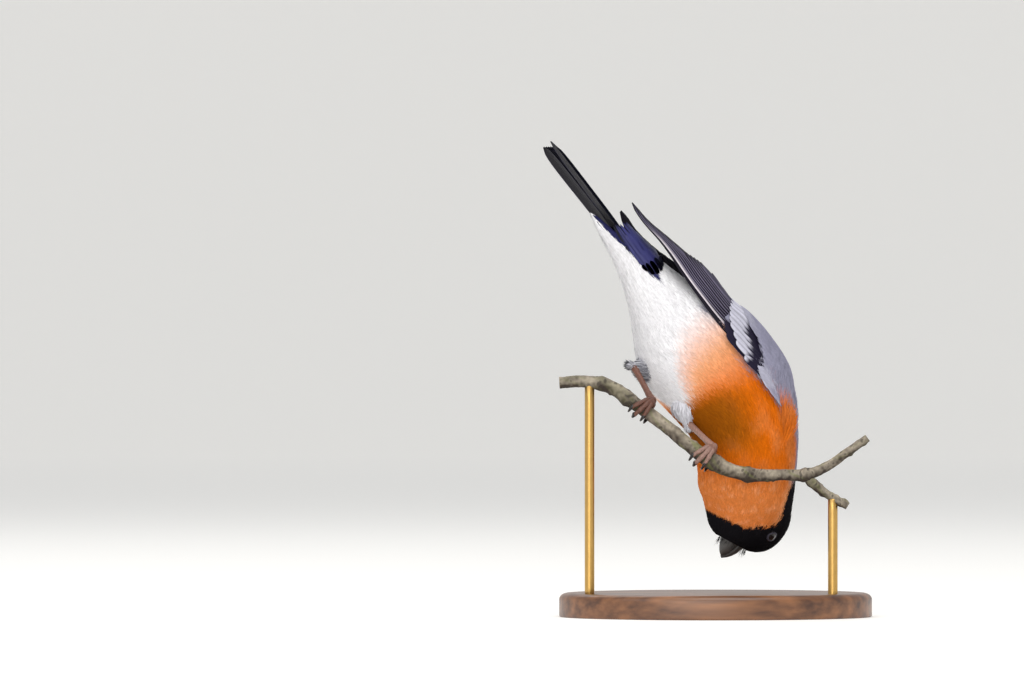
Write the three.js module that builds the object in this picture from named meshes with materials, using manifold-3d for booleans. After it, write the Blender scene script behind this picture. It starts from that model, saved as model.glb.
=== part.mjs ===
// A male bullfinch, life size, as a still museum model. It hangs head down behind a cut twig, which it
// grips with both feet, and the twig is carried over an oval base by two rods.
// Millimetres, +Z up. The origin is the centre of the base's underside, +X runs along the twig towards its
// fork, and -Y is the side of the twig that faces away from the bird.
import * as THREE from "three";
import { mergeVertices } from "three/addons/utils/BufferGeometryUtils.js";
import Module from "manifold-3d";

const wasm = await Module();
wasm.setup();

// Clearance between pieces that touch
const GAP = 0.3;
const DEG = Math.PI / 180;
const Y_AXIS = new THREE.Vector3(0, 1, 0);
const Z_AXIS = new THREE.Vector3(0, 0, 1);

// The body is lofted through sections from the under-tail coverts to the face. Each one has its centre, the
// heading of the spine in degrees below level, its roll (how far the breast is turned towards -Y), its half
// width, and its depth from the centre to the back and to the belly.
const SPINE_Y = 8;
const SECTIONS = [
  { name: "covert tip", x: -41.4, z: 134.4, heading: 52, roll: 17, side: 0.8, back: 0.5, belly: 0.5 },
  { name: "covert", x: -35.7, z: 127.4, heading: 52, roll: 18, side: 4.6, back: 1.3, belly: 2.4 },
  { name: "tail root", x: -28.7, z: 120.1, heading: 52.5, roll: 20, side: 7.4, back: 5.0, belly: 5.6 },
  { name: "rump end", x: -21.7, z: 111.0, heading: 53, roll: 22, side: 9.4, back: 8.2, belly: 9.8 },
  { name: "rump", x: -15.7, z: 102.7, heading: 54, roll: 26, side: 13.6, back: 11.4, belly: 14.9 },
  { name: "loin", x: -9.8, z: 94.2, heading: 55, roll: 30, side: 18.2, back: 16.2, belly: 20.0 },
  { name: "belly", x: -4.2, z: 86.8, heading: 57, roll: 33, side: 20.8, back: 19.2, belly: 21.4 },
  { name: "breast", x: 4.8, z: 75.0, heading: 66, roll: 37, side: 20.6, back: 20.2, belly: 20.8 },
  { name: "shoulders", x: 10.0, z: 61.7, heading: 80, roll: 41, side: 18.2, back: 17.4, belly: 17.6 },
  { name: "neck", x: 10.7, z: 49.0, heading: 91, roll: 44, side: 16.4, back: 16.5, belly: 16.8 },
  { name: "nape", x: 10.7, z: 40.7, heading: 100, roll: 45, side: 15.2, back: 15.8, belly: 17.9 },
  { name: "crown", x: 10.7, z: 34.7, heading: 108, roll: 45, side: 14.0, back: 15.4, belly: 17.2 },
  { name: "eyes", x: 9.3, z: 30.7, heading: 114, roll: 45, side: 12.2, back: 15.0, belly: 15.4 },
  { name: "lores", x: 8.0, z: 27.7, heading: 117, roll: 45, side: 10.0, back: 13.4, belly: 13.8 },
  { name: "bill root", x: 7.0, z: 25.7, heading: 118, roll: 45, side: 7.8, back: 10.8, belly: 12.2 },
  { name: "face front", x: 6.2, z: 24.2, heading: 118, roll: 45, side: 5.2, back: 7.0, belly: 9.0 },
];
const SECTION_AT = Object.fromEntries(SECTIONS.map((section, i) => [section.name, i]));
const BODY_STEPS_PER_SECTION = 2;
const BODY_SIDES = 26;
const END_CAP = 0.9;

// Where thin cuts part the body into torso, neck and head, counted in sections
const NECK_CUT = SECTION_AT.shoulders + 0.35;
const HEAD_CUT = SECTION_AT.nape - 0.35;

// Eyes, in the frame of the section named eyes
const EYE = { forward: -0.9, up: 2.6, side: 9.3, radius: 3.2, lookForward: 0.3, lookUp: 0.08, sides: 12 };
const LID = { radius: 2.6, thickness: 0.5, out: 0.62, sides: 5, turns: 13 };

// Bill, in a frame of its own whose centre lies where the feathers end
const BILL = {
  x: 5.7, z: 23.5, heading: 118, roll: 45, root: -6.5, tip: 5.3, lowerTip: 4.5, halfWidth: 4.7,
  culmenUp: 5.0, chinUp: -5.2, tipUp: -2.7, lowerTipUp: -2.6, mouthUp: -0.9, mouthTipUp: -2.0,
  culmenPower: 3.4, chinPower: 2.6, widthPower: 2.6, lowerWidth: 0.94, domePower: 0.85,
  steps: 6, sides: 8,
};
const NOSTRIL = { forward: 0.4, up: 2.2, side: 3.9, radius: 0.6, sides: 6 };

// Tail: six pairs of vanes, the middle pair on top, over a bed that arches down to both edges. Distances
// along the tail and the free wings run forwards from the tail's tip.
const TAIL = {
  tipX: -56.1, tipZ: 157.2, heading: 52.5, roll: 18, root: 59, pairs: 6, featherHalfWidth: 4.1, lift: 1.5,
  outerNarrower: 0.15, spreadRoot: 0.4, spreadTip: 0.8, layer: 0.26, sideLayer: 0.1, notch: 2.2, arch: 1.0,
  archHalfWidth: 8, steps: 6,
};
const TAIL_COVERT = {
  rows: 2, perRow: 5, start: 58, end: 35, rowStep: 10, halfWidth: 4.2, halfSpan: 104, sideStep: 1.2,
  layer: 0.4, sideLayer: 0.15, steps: 3, tipSpread: 0.9,
  startBed: { halfWidth: 9.4, up: 8.0, down: 4.6 }, endBed: { halfWidth: 8.2, up: 3.9, down: 0.8 },
};
const VANE = { thickness: 0.55, camber: 0.12 };

// Folded wings. The rows run from the wrist to the tip: the first ones lie on the body, at a section number
// and at degrees round it from the back, and the rest are free, as millimetres right and up.
const WING_ROLL = 25;
const WING_ON_BODY = [
  { at: 7.65, around: [80, 52, 26], lift: [0.7, 0.1, 0.2] },
  { at: 7.05, around: [89, 54, 17], lift: [0.9, 0.3, 0.2] },
  { at: 6.4, around: [93, 52, 12], lift: [1.0, 0.5, 0.3] },
  { at: 5.75, around: [92, 48, 9], lift: [1.3, 0.8, 0.7] },
  { at: 5.0, around: [86, 42, 7], lift: [1.7, 1.3, 1.3] },
];
const WING_FREE = [
  { from: 68, low: [16.8, 3.4], high: { right: [3.0, 16.6], left: [3.0, 14.8] }, bulge: 2.8 },
  { from: 58.5, low: [14.7, 5.3], high: { right: [3.6, 15.0], left: [4.0, 13.7] }, bulge: 2.2 },
  { from: 49.5, low: [12.3, 6.1], high: { right: [5.0, 13.1], left: [6.0, 11.4] }, bulge: 1.2 },
  { from: 41, low: [10.0, 6.2], high: { right: [6.0, 11.0], left: [6.5, 9.9] }, bulge: 0.6 },
  { from: 32.6, low: [8.0, 8.0], high: { right: [7.2, 9.8], left: [6.8, 10.4] }, bulge: 0.2 },
];
// Tiers of a wing's vanes, the lowest first. Roots and tips are [along, across] of the wing's bed for the
// outermost vane and for the innermost, and so are half widths and lifts; the others lie between them.
const WING_TIERS = [
  {
    name: "primaries", count: 8, outline: "pointed", steps: 5, tipPower: 1.3,
    root: [[0.3, 0.06], [0.3, 0.41]], tip: [[1, 0.4], [0.58, 0.82]], halfWidth: [2.3, 3.1],
    lift: [-1.3, -0.2],
  },
  {
    name: "secondaries", count: 6, outline: "rounded", steps: 5, tipPower: 1,
    root: [[0.28, 0.36], [0.28, 0.61]], tip: [[0.62, 0.5], [0.59, 0.86]], halfWidth: [3.2, 3.2],
    lift: [0, 0.7],
  },
  {
    name: "tertials", count: 3, outline: "rounded", steps: 5, tipPower: 1,
    root: [[0.3, 0.62], [0.3, 0.82]], tip: [[0.6, 0.74], [0.53, 0.88]], halfWidth: [3.8, 3.8],
    lift: [0.8, 1.1],
  },
  {
    name: "greater coverts", count: 6, outline: "rounded", steps: 4, tipPower: 1,
    root: [[0.08, 0.2], [0.22, 0.82]], tip: [[0.24, 0.14], [0.44, 0.88]], halfWidth: [3.3, 3.3],
    lift: [0.7, 1.2],
  },
  {
    name: "primary coverts", count: 2, outline: "pointed", steps: 4, tipPower: 1,
    root: [[0.16, 0.08], [0.16, 0.16]], tip: [[0.42, 0.08], [0.36, 0.2]], halfWidth: [2.2, 2.2],
    lift: [0.4, 0.6],
  },
];
const WING_ARM = {
  start: 0.02, end: 0.48, fadeStart: 0.28, edge: 0.03, crown: 0.5, skin: 0.6, under: 0.5, depth: 4.2,
  rows: 7, columns: 6,
};

// The twig, from its cut left end to its cut right end: centre line and radius
const TWIG_Y = -13.5;
const TWIG = [
  { x: -52.0, z: 77.8, r: 1.9 },
  { x: -43.7, z: 78.3, r: 2.0 },
  { x: -35.0, z: 76.4, r: 2.25 },
  { x: -27.0, z: 71.0, r: 2.2 },
  { x: -17.7, z: 64.2, r: 2.15 },
  { x: -10.0, z: 57.9, r: 2.2 },
  { x: -2.3, z: 52.2, r: 2.5 },
  { x: 5.5, z: 48.6, r: 2.3 },
  { x: 13.5, z: 47.2, r: 2.1 },
  { x: 22.0, z: 47.4, r: 1.8 },
  { x: 29.7, z: 47.4, r: 1.9 },
  { x: 37.0, z: 50.4, r: 1.5 },
  { x: 43.0, z: 54.6, r: 1.4 },
  { x: 50.0, z: 59.6, r: 1.3 },
];
const FORK = [
  { x: 28.6, z: 47.6, r: 1.5 },
  { x: 35.4, z: 41.8, r: 1.4 },
  { x: 43.4, z: 37.0, r: 1.25 },
];
const TWIG_STEPS = 2;
const TWIG_SIDES = { main: 8, fork: 6, knot: 8 };
const KNOTS = [
  { x: -38.0, r: 2.6 },
  { x: -29.5, r: 2.7 },
  { x: -1.0, r: 3.0 },
  { x: 10.5, r: 2.9 },
  { x: 29.5, r: 2.5 },
];

// Legs and feet. A toe winds round the twig from the top: it reaches some millimetres along the twig while
// it turns through an angle, positive towards -Y.
const LEG = {
  shankRadius: 0.95, jointSwell: 0.3, waist: 0.3, padRadius: 1.5, padSides: 9, padTurn: -4, padClear: 0.1,
  sides: 8, steps: 5,
};
const TOE = { radius: 0.92, taper: 0.72, sides: 6, steps: 6, clear: 0.12, arch: 0.5, knuckle: 0.08, bend: 0.8 };
const CLAW = { radius: 0.72, taper: 0.22, steps: 3, sides: 5, turn: 62, sunk: 0.2, lift: 0.6 };
const TOES = [
  { name: "hind", along: 2.4, turn: -120, reach: 1.12 },
  { name: "inner", along: -7.4, turn: 112, reach: 0.92 },
  { name: "middle", along: -4.2, turn: 150, reach: 1.0 },
  { name: "outer", along: -0.6, turn: 122, reach: 0.9 },
];
const FEET = {
  left: { x: -23.6, hock: [-27.2, -1.5, 83.2], thigh: { at: 5.65, around: -165, radius: 4.4 } },
  right: { x: -3.4, hock: [-9.2, -2.5, 64.6], thigh: { at: 6.75, around: 168, radius: 4.6 } },
};
const THIGH = { sides: 11, steps: 6, depth: 5, tipShare: 0.42, taperPower: 2.4, bow: 0.8 };

// Stand
const BASE = { halfLength: 52, halfDepth: 40, height: 8, edge: 2.2, segments: 44 };
const ROD = { radius: 1.6, sides: 14, sunk: 5, leftX: -42, rightX: 38.5 };

// Solids from points

function solidFromGeometry(source) {
  const geometry = source.clone();
  geometry.deleteAttribute("normal");
  geometry.deleteAttribute("uv");
  const merged = mergeVertices(geometry, 1e-4);
  const solid = solidFromArrays(merged.attributes.position.array, merged.index.array);
  if (solid.volume() >= 0) return solid;
  const turned = Array.from(merged.index.array);
  for (let i = 0; i < turned.length; i += 3) {
    [turned[i + 1], turned[i + 2]] = [turned[i + 2], turned[i + 1]];
  }
  return solidFromArrays(merged.attributes.position.array, turned);
}

function solidFromArrays(positions, indices) {
  return new wasm.Manifold(new wasm.Mesh({
    numProp: 3,
    vertProperties: new Float32Array(positions),
    triVerts: new Uint32Array(indices),
  }));
}

function solidFromPoints(points, indices) {
  const geometry = new THREE.BufferGeometry().setFromPoints(points);
  geometry.setIndex(indices);
  return solidFromGeometry(geometry);
}

function union(solids) {
  return solids.reduce((joined, solid) => joined.add(solid));
}

function largestPiece(solid) {
  return solid.decompose().reduce((best, piece) => (piece.volume() > best.volume() ? piece : best));
}

function meshFrom(name, solid, material) {
  const data = largestPiece(solid).getMesh();
  const positions = new Float32Array(data.numVert * 3);
  for (let i = 0; i < data.numVert; i++) {
    positions.set(data.vertProperties.subarray(i * data.numProp, i * data.numProp + 3), i * 3);
  }
  const geometry = new THREE.BufferGeometry();
  geometry.setAttribute("position", new THREE.BufferAttribute(positions, 3));
  geometry.setIndex(new THREE.BufferAttribute(data.triVerts, 1));
  geometry.computeVertexNormals();
  const mesh = new THREE.Mesh(geometry, material);
  mesh.name = name;
  return mesh;
}

// A closed tube through rings of points, each with the same count, ended by a pole point at either end
function ringSolid(rings, startPole, endPole) {
  const sides = rings[0].length;
  const points = [...rings.flat(), startPole, endPole];
  const indices = [];
  for (let i = 0; i + 1 < rings.length; i++) {
    for (let j = 0; j < sides; j++) {
      const a = i * sides + j;
      const b = i * sides + ((j + 1) % sides);
      indices.push(a, b, b + sides, a, b + sides, a + sides);
    }
  }
  const pole = rings.length * sides;
  const lastRing = pole - sides;
  for (let j = 0; j < sides; j++) {
    const next = (j + 1) % sides;
    indices.push(pole, next, j);
    indices.push(pole + 1, lastRing + j, lastRing + next);
  }
  return solidFromPoints(points, indices);
}

// A closed plate between two grids of points with the same rows and columns, split alike on both faces
function plateSolid(top, bottom) {
  const rows = top.length;
  const columns = top[0].length;
  const points = [...top.flat(), ...bottom.flat()];
  const under = rows * columns;
  const indices = [];
  const quad = (a, b, c, d) => indices.push(a, b, c, a, c, d);
  for (let i = 0; i + 1 < rows; i++) {
    for (let j = 0; j + 1 < columns; j++) {
      const a = i * columns + j;
      const b = a + under;
      indices.push(a, a + 1, a + 1 + columns, a, a + 1 + columns, a + columns);
      indices.push(b, b + 1 + columns, b + 1, b, b + columns, b + 1 + columns);
    }
    const left = i * columns;
    const right = left + columns - 1;
    quad(left, left + columns, left + columns + under, left + under);
    quad(right, right + under, right + columns + under, right + columns);
  }
  for (let j = 0; j + 1 < columns; j++) {
    const last = (rows - 1) * columns + j;
    quad(j, j + under, j + 1 + under, j + 1);
    quad(last, last + 1, last + 1 + under, last + under);
  }
  return solidFromPoints(points, indices);
}

// A closed tube of round section along points, with a radius at each
function tubeSolid(points, radii, sides, reference) {
  const last = points.length - 1;
  const rings = points.map((point, i) => {
    const forward = points[Math.min(i + 1, last)].clone().sub(points[Math.max(i - 1, 0)]).normalize();
    const across = new THREE.Vector3().crossVectors(forward, reference).normalize();
    const over = new THREE.Vector3().crossVectors(across, forward);
    return Array.from({ length: sides }, (_, j) => {
      const angle = (2 * Math.PI * j) / sides;
      return point.clone()
        .addScaledVector(across, radii[i] * Math.cos(angle))
        .addScaledVector(over, radii[i] * Math.sin(angle));
    });
  });
  return ringSolid(rings, points[0], points[last]);
}

function ball(centre, radius, sides) {
  const geometry = new THREE.SphereGeometry(radius, sides, Math.round(sides * 0.7));
  geometry.translate(centre.x, centre.y, centre.z);
  return solidFromGeometry(geometry);
}

function uprightCylinder(x, y, bottom, top, radius, sides) {
  const geometry = new THREE.CylinderGeometry(radius, radius, top - bottom, sides);
  geometry.rotateX(Math.PI / 2);
  geometry.translate(x, y, (top + bottom) / 2);
  return solidFromGeometry(geometry);
}

// Smooth curves and frames

// The smooth curve through one value at each whole number
function through(values, t) {
  const last = values.length - 1;
  const clamped = Math.min(Math.max(t, 0), last);
  const i = Math.min(Math.floor(clamped), last - 1);
  const f = clamped - i;
  const before = values[Math.max(i - 1, 0)];
  const after = values[Math.min(i + 2, last)];
  const [a, b] = [values[i], values[i + 1]];
  const slopeA = (b - before) / (i > 0 ? 2 : 1);
  const slopeB = (after - a) / (i + 2 <= last ? 2 : 1);
  return (2 * f ** 3 - 3 * f ** 2 + 1) * a + (f ** 3 - 2 * f ** 2 + f) * slopeA
    + (3 * f ** 2 - 2 * f ** 3) * b + (f ** 3 - f ** 2) * slopeB;
}

function throughKey(stations, key, t) {
  return through(stations.map((station) => station[key]), t);
}

function throughPoints(points, t) {
  return new THREE.Vector3(throughKey(points, "x", t), throughKey(points, "y", t), throughKey(points, "z", t));
}

function smoothStep(from, to, value) {
  return THREE.MathUtils.smoothstep(value, from, to);
}

// A frame at a centre: forwards by its heading below level, up through the back, and out to the bird's right
function frameAt(centre, heading, roll) {
  const forward = new THREE.Vector3(Math.cos(heading * DEG), 0, -Math.sin(heading * DEG));
  const up = new THREE.Vector3(Math.sin(heading * DEG), 0, Math.cos(heading * DEG))
    .multiplyScalar(Math.cos(roll * DEG))
    .addScaledVector(Y_AXIS, Math.sin(roll * DEG));
  const right = new THREE.Vector3().crossVectors(forward, up);
  return { centre, forward, up, right };
}

function inFrame(frame, forward, up, right) {
  return frame.centre.clone()
    .addScaledVector(frame.forward, forward)
    .addScaledVector(frame.up, up)
    .addScaledVector(frame.right, right);
}

// Body

function bodyFrame(s) {
  const centre = new THREE.Vector3(throughKey(SECTIONS, "x", s), SPINE_Y, throughKey(SECTIONS, "z", s));
  return frameAt(centre, throughKey(SECTIONS, "heading", s), throughKey(SECTIONS, "roll", s));
}

// A point on the body: around is 0 on the back, 90 on the bird's right and 180 on the belly
function bodyPoint(s, around, lift = 0) {
  const angle = around * DEG;
  const side = throughKey(SECTIONS, "side", s) + lift;
  const depth = throughKey(SECTIONS, Math.cos(angle) > 0 ? "back" : "belly", s) + lift;
  return inFrame(bodyFrame(s), 0, depth * Math.cos(angle), side * Math.sin(angle));
}

function bodySolid(lift) {
  const steps = (SECTIONS.length - 1) * BODY_STEPS_PER_SECTION;
  const rings = Array.from({ length: steps + 1 }, (_, i) =>
    Array.from({ length: BODY_SIDES }, (__, j) =>
      bodyPoint(i / BODY_STEPS_PER_SECTION, (360 * j) / BODY_SIDES, lift)));
  const last = SECTIONS.length - 1;
  return ringSolid(
    rings,
    inFrame(bodyFrame(0), -END_CAP - lift, 0, 0),
    inFrame(bodyFrame(last), END_CAP + lift, 0, 0),
  );
}

// Parts a solid across the spine at section number s, leaving the gap of touching pieces
function splitAcross(solid, s) {
  const { centre, forward } = bodyFrame(s);
  const at = centre.dot(forward);
  const behindNormal = forward.clone().negate();
  return {
    ahead: solid.trimByPlane(forward.toArray(), at + GAP / 2),
    behind: solid.trimByPlane(behindNormal.toArray(), -at + GAP / 2),
  };
}

const body = bodySolid(0);
const bodyGrown = bodySolid(GAP);
const eyeFrame = bodyFrame(SECTION_AT.eyes);
const billFrame = frameAt(new THREE.Vector3(BILL.x, SPINE_Y, BILL.z), BILL.heading, BILL.roll);
const tailTip = new THREE.Vector3(TAIL.tipX, SPINE_Y, TAIL.tipZ);
const tailFrame = frameAt(tailTip, TAIL.heading, TAIL.roll);
const wingFrame = frameAt(tailTip, TAIL.heading, WING_ROLL);

// Vanes: flat feathers laid on a bed, which is a function of (along, across) that returns a point

function bedNormal(bed, along, across, facing) {
  const step = 0.01;
  const alongStep = bed(along + step, across).sub(bed(along - step, across));
  const acrossStep = bed(along, across + step).sub(bed(along, across - step));
  return new THREE.Vector3().crossVectors(acrossStep, alongStep).normalize().multiplyScalar(facing);
}

// One vane from its root to its tip, both as [along, across] of the bed. Half width and lift are
// millimetres, and shape gives the share of the half width along it.
function vane(bed, facing, { root, tip, halfWidth, shape, lift, steps }) {
  const top = [];
  const bottom = [];
  for (let i = 0; i <= steps; i++) {
    const t = i / steps;
    const along = THREE.MathUtils.lerp(root[0], tip[0], t);
    const across = THREE.MathUtils.lerp(root[1], tip[1], t);
    const probe = 0.05;
    const span = bed(along, across + probe).distanceTo(bed(along, across - probe)) / (2 * probe);
    const half = (halfWidth * shape(t)) / span;
    const places = [-1, 0, 1].map((side) => {
      const v = across + side * half;
      const low = side ? lift : lift + VANE.camber;
      return { point: bed(along, v), normal: bedNormal(bed, along, v, facing), low };
    });
    bottom.push(places.map(({ point, normal, low }) => point.clone().addScaledVector(normal, low)));
    top.push(places.map(({ point, normal, low }) =>
      point.clone().addScaledVector(normal, low + VANE.thickness)));
  }
  return plateSolid(top, bottom);
}

// Feather outlines as a share of the half width, from the root at 0 to the tip at 1
function pointed(t) {
  return Math.min(0.72 + 0.6 * t, 1) * Math.sqrt(Math.max(0.05, 1 - ((t - 0.35) / 0.66) ** 4));
}

function rounded(t) {
  return Math.min(0.6 + t, 1) * Math.sqrt(Math.max(0.1, 1 - ((t - 0.5) / 0.51) ** 6));
}

const OUTLINES = { pointed, rounded };

// Tail

function tailBed(along, across) {
  return inFrame(tailFrame, along, -TAIL.arch * (across / TAIL.archHalfWidth) ** 2, across);
}

// The bed of the tail coverts wraps the tail's root: across is degrees round it from the top
function tailCovertBed(along, across) {
  const { start, end, startBed, endBed } = TAIL_COVERT;
  const size = (key) => THREE.MathUtils.mapLinear(along, end, start, endBed[key], startBed[key]);
  const angle = across * DEG;
  const up = size(Math.cos(angle) > 0 ? "up" : "down") * Math.cos(angle);
  return inFrame(tailFrame, along, up, size("halfWidth") * Math.sin(angle));
}

function tailSolid() {
  const vanes = [];
  for (let pair = 0; pair < TAIL.pairs; pair++) {
    for (const side of [-1, 1]) {
      const offset = side * (pair + 0.5);
      vanes.push(vane(tailBed, 1, {
        root: [TAIL.root, offset * TAIL.spreadRoot],
        tip: [TAIL.notch * (1 - pair / (TAIL.pairs - 1)), offset * TAIL.spreadTip],
        halfWidth: TAIL.featherHalfWidth - TAIL.outerNarrower * pair,
        shape: rounded,
        lift: TAIL.lift - TAIL.layer * pair + (side > 0 ? TAIL.sideLayer : 0),
        steps: TAIL.steps,
      }));
    }
  }
  return union(vanes).subtract(bodyGrown);
}

// The glossy coverts that lie over the tail's root and wrap its sides
function tailCovertSolid() {
  const vanes = [];
  const { rows, perRow, start, end, rowStep, halfSpan, sideStep } = TAIL_COVERT;
  for (let row = 0; row < rows; row++) {
    for (let i = 0; i < perRow; i++) {
      const across = halfSpan * ((2 * i) / (perRow - 1) - 1);
      vanes.push(vane(tailCovertBed, 1, {
        root: [start, across],
        tip: [end + row * rowStep + sideStep * Math.abs(across / halfSpan), across * TAIL_COVERT.tipSpread],
        halfWidth: TAIL_COVERT.halfWidth,
        shape: rounded,
        lift: row * TAIL_COVERT.layer + (i % 2) * TAIL_COVERT.sideLayer,
        steps: TAIL_COVERT.steps,
      }));
    }
  }
  return union(vanes).subtract(bodyGrown);
}

// Wings

function wingRows(side) {
  const [sign, name] = side === "right" ? [1, "right"] : [-1, "left"];
  const onBody = WING_ON_BODY.map(({ at, around, lift }) =>
    around.map((angle, i) => bodyPoint(at, sign * angle, lift[i])));
  const free = WING_FREE.map(({ from, low, high, bulge }) => {
    const lowEdge = inFrame(wingFrame, from, low[1], sign * low[0]);
    const highEdge = inFrame(wingFrame, from, high[name][1], sign * high[name][0]);
    const across = highEdge.clone().sub(lowEdge).normalize();
    const outward = new THREE.Vector3().crossVectors(wingFrame.forward, across).multiplyScalar(sign);
    const middle = lowEdge.clone().lerp(highEdge, 0.5).addScaledVector(outward, bulge);
    return [lowEdge, middle, highEdge];
  });
  return [...onBody, ...free];
}

// The wing's bed: along runs from the wrist at 0 to the tip at 1, across from the leading edge to the back
function wingBed(side) {
  const rows = wingRows(side);
  const columns = [0, 1, 2].map((column) => rows.map((row) => row[column]));
  return (along, across) => {
    const [low, middle, high] = columns.map((points) => throughPoints(points, along * (rows.length - 1)));
    return low.multiplyScalar((1 - across) * (1 - 2 * across))
      .addScaledVector(middle, 4 * across * (1 - across))
      .addScaledVector(high, across * (2 * across - 1));
  };
}

// The arm, under small coverts, from the wrist back to where the flight feathers come free
function wingArm(bed, facing) {
  const { start, end, fadeStart, edge, crown, skin, under, depth, rows, columns } = WING_ARM;
  const top = [];
  const bottom = [];
  for (let i = 0; i <= rows; i++) {
    const along = THREE.MathUtils.lerp(start, end, i / rows);
    const fade = 1 - smoothStep(fadeStart, end, along);
    const topRow = [];
    const bottomRow = [];
    for (let j = 0; j <= columns; j++) {
      const across = THREE.MathUtils.lerp(edge, 1 - edge, j / columns);
      const normal = bedNormal(bed, along, across, facing);
      const dome = Math.sqrt(Math.sin((Math.PI * j) / columns) * Math.min(1, i / 2));
      topRow.push(bed(along, across).addScaledVector(normal, skin + crown * dome * fade));
      bottomRow.push(bed(along, across).addScaledVector(normal, -under - depth * fade));
    }
    top.push(topRow);
    bottom.push(bottomRow);
  }
  return plateSolid(top, bottom);
}

function wingTier(bed, facing, tier) {
  return Array.from({ length: tier.count }, (_, i) => {
    const share = i / (tier.count - 1);
    const between = ([from, to], power = 1) => THREE.MathUtils.lerp(from, to, share ** power);
    const place = ([from, to], power) => [between([from[0], to[0]], power), between([from[1], to[1]])];
    return vane(bed, facing, {
      root: place(tier.root, 1),
      tip: place(tier.tip, tier.tipPower),
      halfWidth: between(tier.halfWidth),
      shape: OUTLINES[tier.outline],
      lift: between(tier.lift),
      steps: tier.steps,
    });
  });
}

function wingSolid(side) {
  const bed = wingBed(side);
  const facing = side === "right" ? 1 : -1;
  const vanes = WING_TIERS.flatMap((tier) => wingTier(bed, facing, tier));
  return union([wingArm(bed, facing), ...vanes]).subtract(bodyGrown);
}

// Twig

function twigPoint(stations, t) {
  return new THREE.Vector3(throughKey(stations, "x", t), TWIG_Y, throughKey(stations, "z", t));
}

// The station number at which a centre line stands at x
function stationAtX(stations, x) {
  let [low, high] = [0, stations.length - 1];
  for (let i = 0; i < 30; i++) {
    const middle = (low + high) / 2;
    if (twigPoint(stations, middle).x < x) low = middle;
    else high = middle;
  }
  return low;
}

function twigTube(stations, sides, lift) {
  const count = (stations.length - 1) * TWIG_STEPS + 1;
  const places = Array.from({ length: count }, (_, i) => i / TWIG_STEPS);
  const radii = places.map((t) => throughKey(stations, "r", t) + lift);
  return tubeSolid(places.map((t) => twigPoint(stations, t)), radii, sides, Y_AXIS);
}

function twigSolid(lift) {
  const { main, fork, knot } = TWIG_SIDES;
  const knots = KNOTS.map(({ x, r }) => ball(twigPoint(TWIG, stationAtX(TWIG, x)), r + lift, knot));
  return union([twigTube(TWIG, main, lift), twigTube(FORK, fork, lift), ...knots]);
}

const twigGrown = twigSolid(GAP);

// Legs and feet

function twigFrame(x) {
  const t = stationAtX(TWIG, x);
  const along = twigPoint(TWIG, t + 0.1).sub(twigPoint(TWIG, t - 0.1)).normalize();
  const near = Y_AXIS.clone().negate();
  const over = new THREE.Vector3().crossVectors(along, near).normalize();
  if (over.z < 0) over.negate();
  return { centre: twigPoint(TWIG, t), along, near, over, radius: throughKey(TWIG, "r", t) };
}

function gripPoint(frame, along, turn, clear) {
  return frame.centre.clone()
    .addScaledVector(frame.along, along)
    .addScaledVector(frame.over, clear * Math.cos(turn * DEG))
    .addScaledVector(frame.near, clear * Math.sin(turn * DEG));
}

function toeSolid(frame, { along, turn, reach }) {
  const clear = frame.radius + GAP + TOE.radius + TOE.clear;
  const toePlaces = Array.from({ length: TOE.steps + 1 }, (_, i) => i / TOE.steps);
  const toePoints = toePlaces.map((t) =>
    gripPoint(frame, along * t ** TOE.bend, turn * t, clear + TOE.arch * (1 - t)));
  const toeRadii = toePlaces.map((t) =>
    TOE.radius * reach * (1 - (1 - TOE.taper) * t) * (1 + TOE.knuckle * Math.cos(6 * Math.PI * t)));
  const clawPlaces = Array.from({ length: CLAW.steps + 1 }, (_, i) => i / CLAW.steps);
  const clawPoints = clawPlaces.map((t) => {
    const hook = Math.sign(turn) * CLAW.turn * (t - CLAW.sunk);
    return gripPoint(frame, along, turn + hook, clear + CLAW.lift * Math.sin(Math.PI * t));
  });
  const clawRadii = clawPlaces.map((t) => CLAW.radius * reach * (1 - (1 - CLAW.taper) * t));
  return union([
    tubeSolid(toePoints, toeRadii, TOE.sides, frame.along),
    tubeSolid(clawPoints, clawRadii, CLAW.sides, frame.along),
  ]);
}

function footBase(foot) {
  const frame = twigFrame(foot.x);
  return gripPoint(frame, 0, LEG.padTurn, frame.radius + GAP + LEG.padRadius + LEG.padClear);
}

function shankSolid(foot, lift) {
  const base = footBase(foot);
  const hock = new THREE.Vector3(...foot.hock);
  const places = Array.from({ length: LEG.steps + 1 }, (_, i) => i / LEG.steps);
  const points = places.map((t) => hock.clone().lerp(base, t));
  const radii = places.map((t) =>
    LEG.shankRadius * (1 + LEG.jointSwell - LEG.waist * Math.sin(Math.PI * t)) + lift);
  return tubeSolid(points, radii, LEG.sides, Z_AXIS);
}

function footSolid(foot) {
  const frame = twigFrame(foot.x);
  const toes = TOES.map((toe) => toeSolid(frame, toe));
  const pad = ball(footBase(foot), LEG.padRadius, LEG.padSides);
  return union([...toes, pad]).subtract(twigGrown).subtract(bodyGrown);
}

// The feathered thigh, from inside the belly down to the hock
function thighSolid(foot) {
  const { at, around, radius } = foot.thigh;
  const hock = new THREE.Vector3(...foot.hock);
  const root = bodyPoint(at, around, -THIGH.depth);
  const places = Array.from({ length: THIGH.steps + 1 }, (_, i) => i / THIGH.steps);
  const points = places.map((t) =>
    root.clone().lerp(hock, t).addScaledVector(Z_AXIS, THIGH.bow * Math.sin(Math.PI * t)));
  const radii = places.map((t) => radius * (1 - (1 - THIGH.tipShare) * t ** THIGH.taperPower));
  return tubeSolid(points, radii, THIGH.sides, Z_AXIS);
}

// Head

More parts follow.
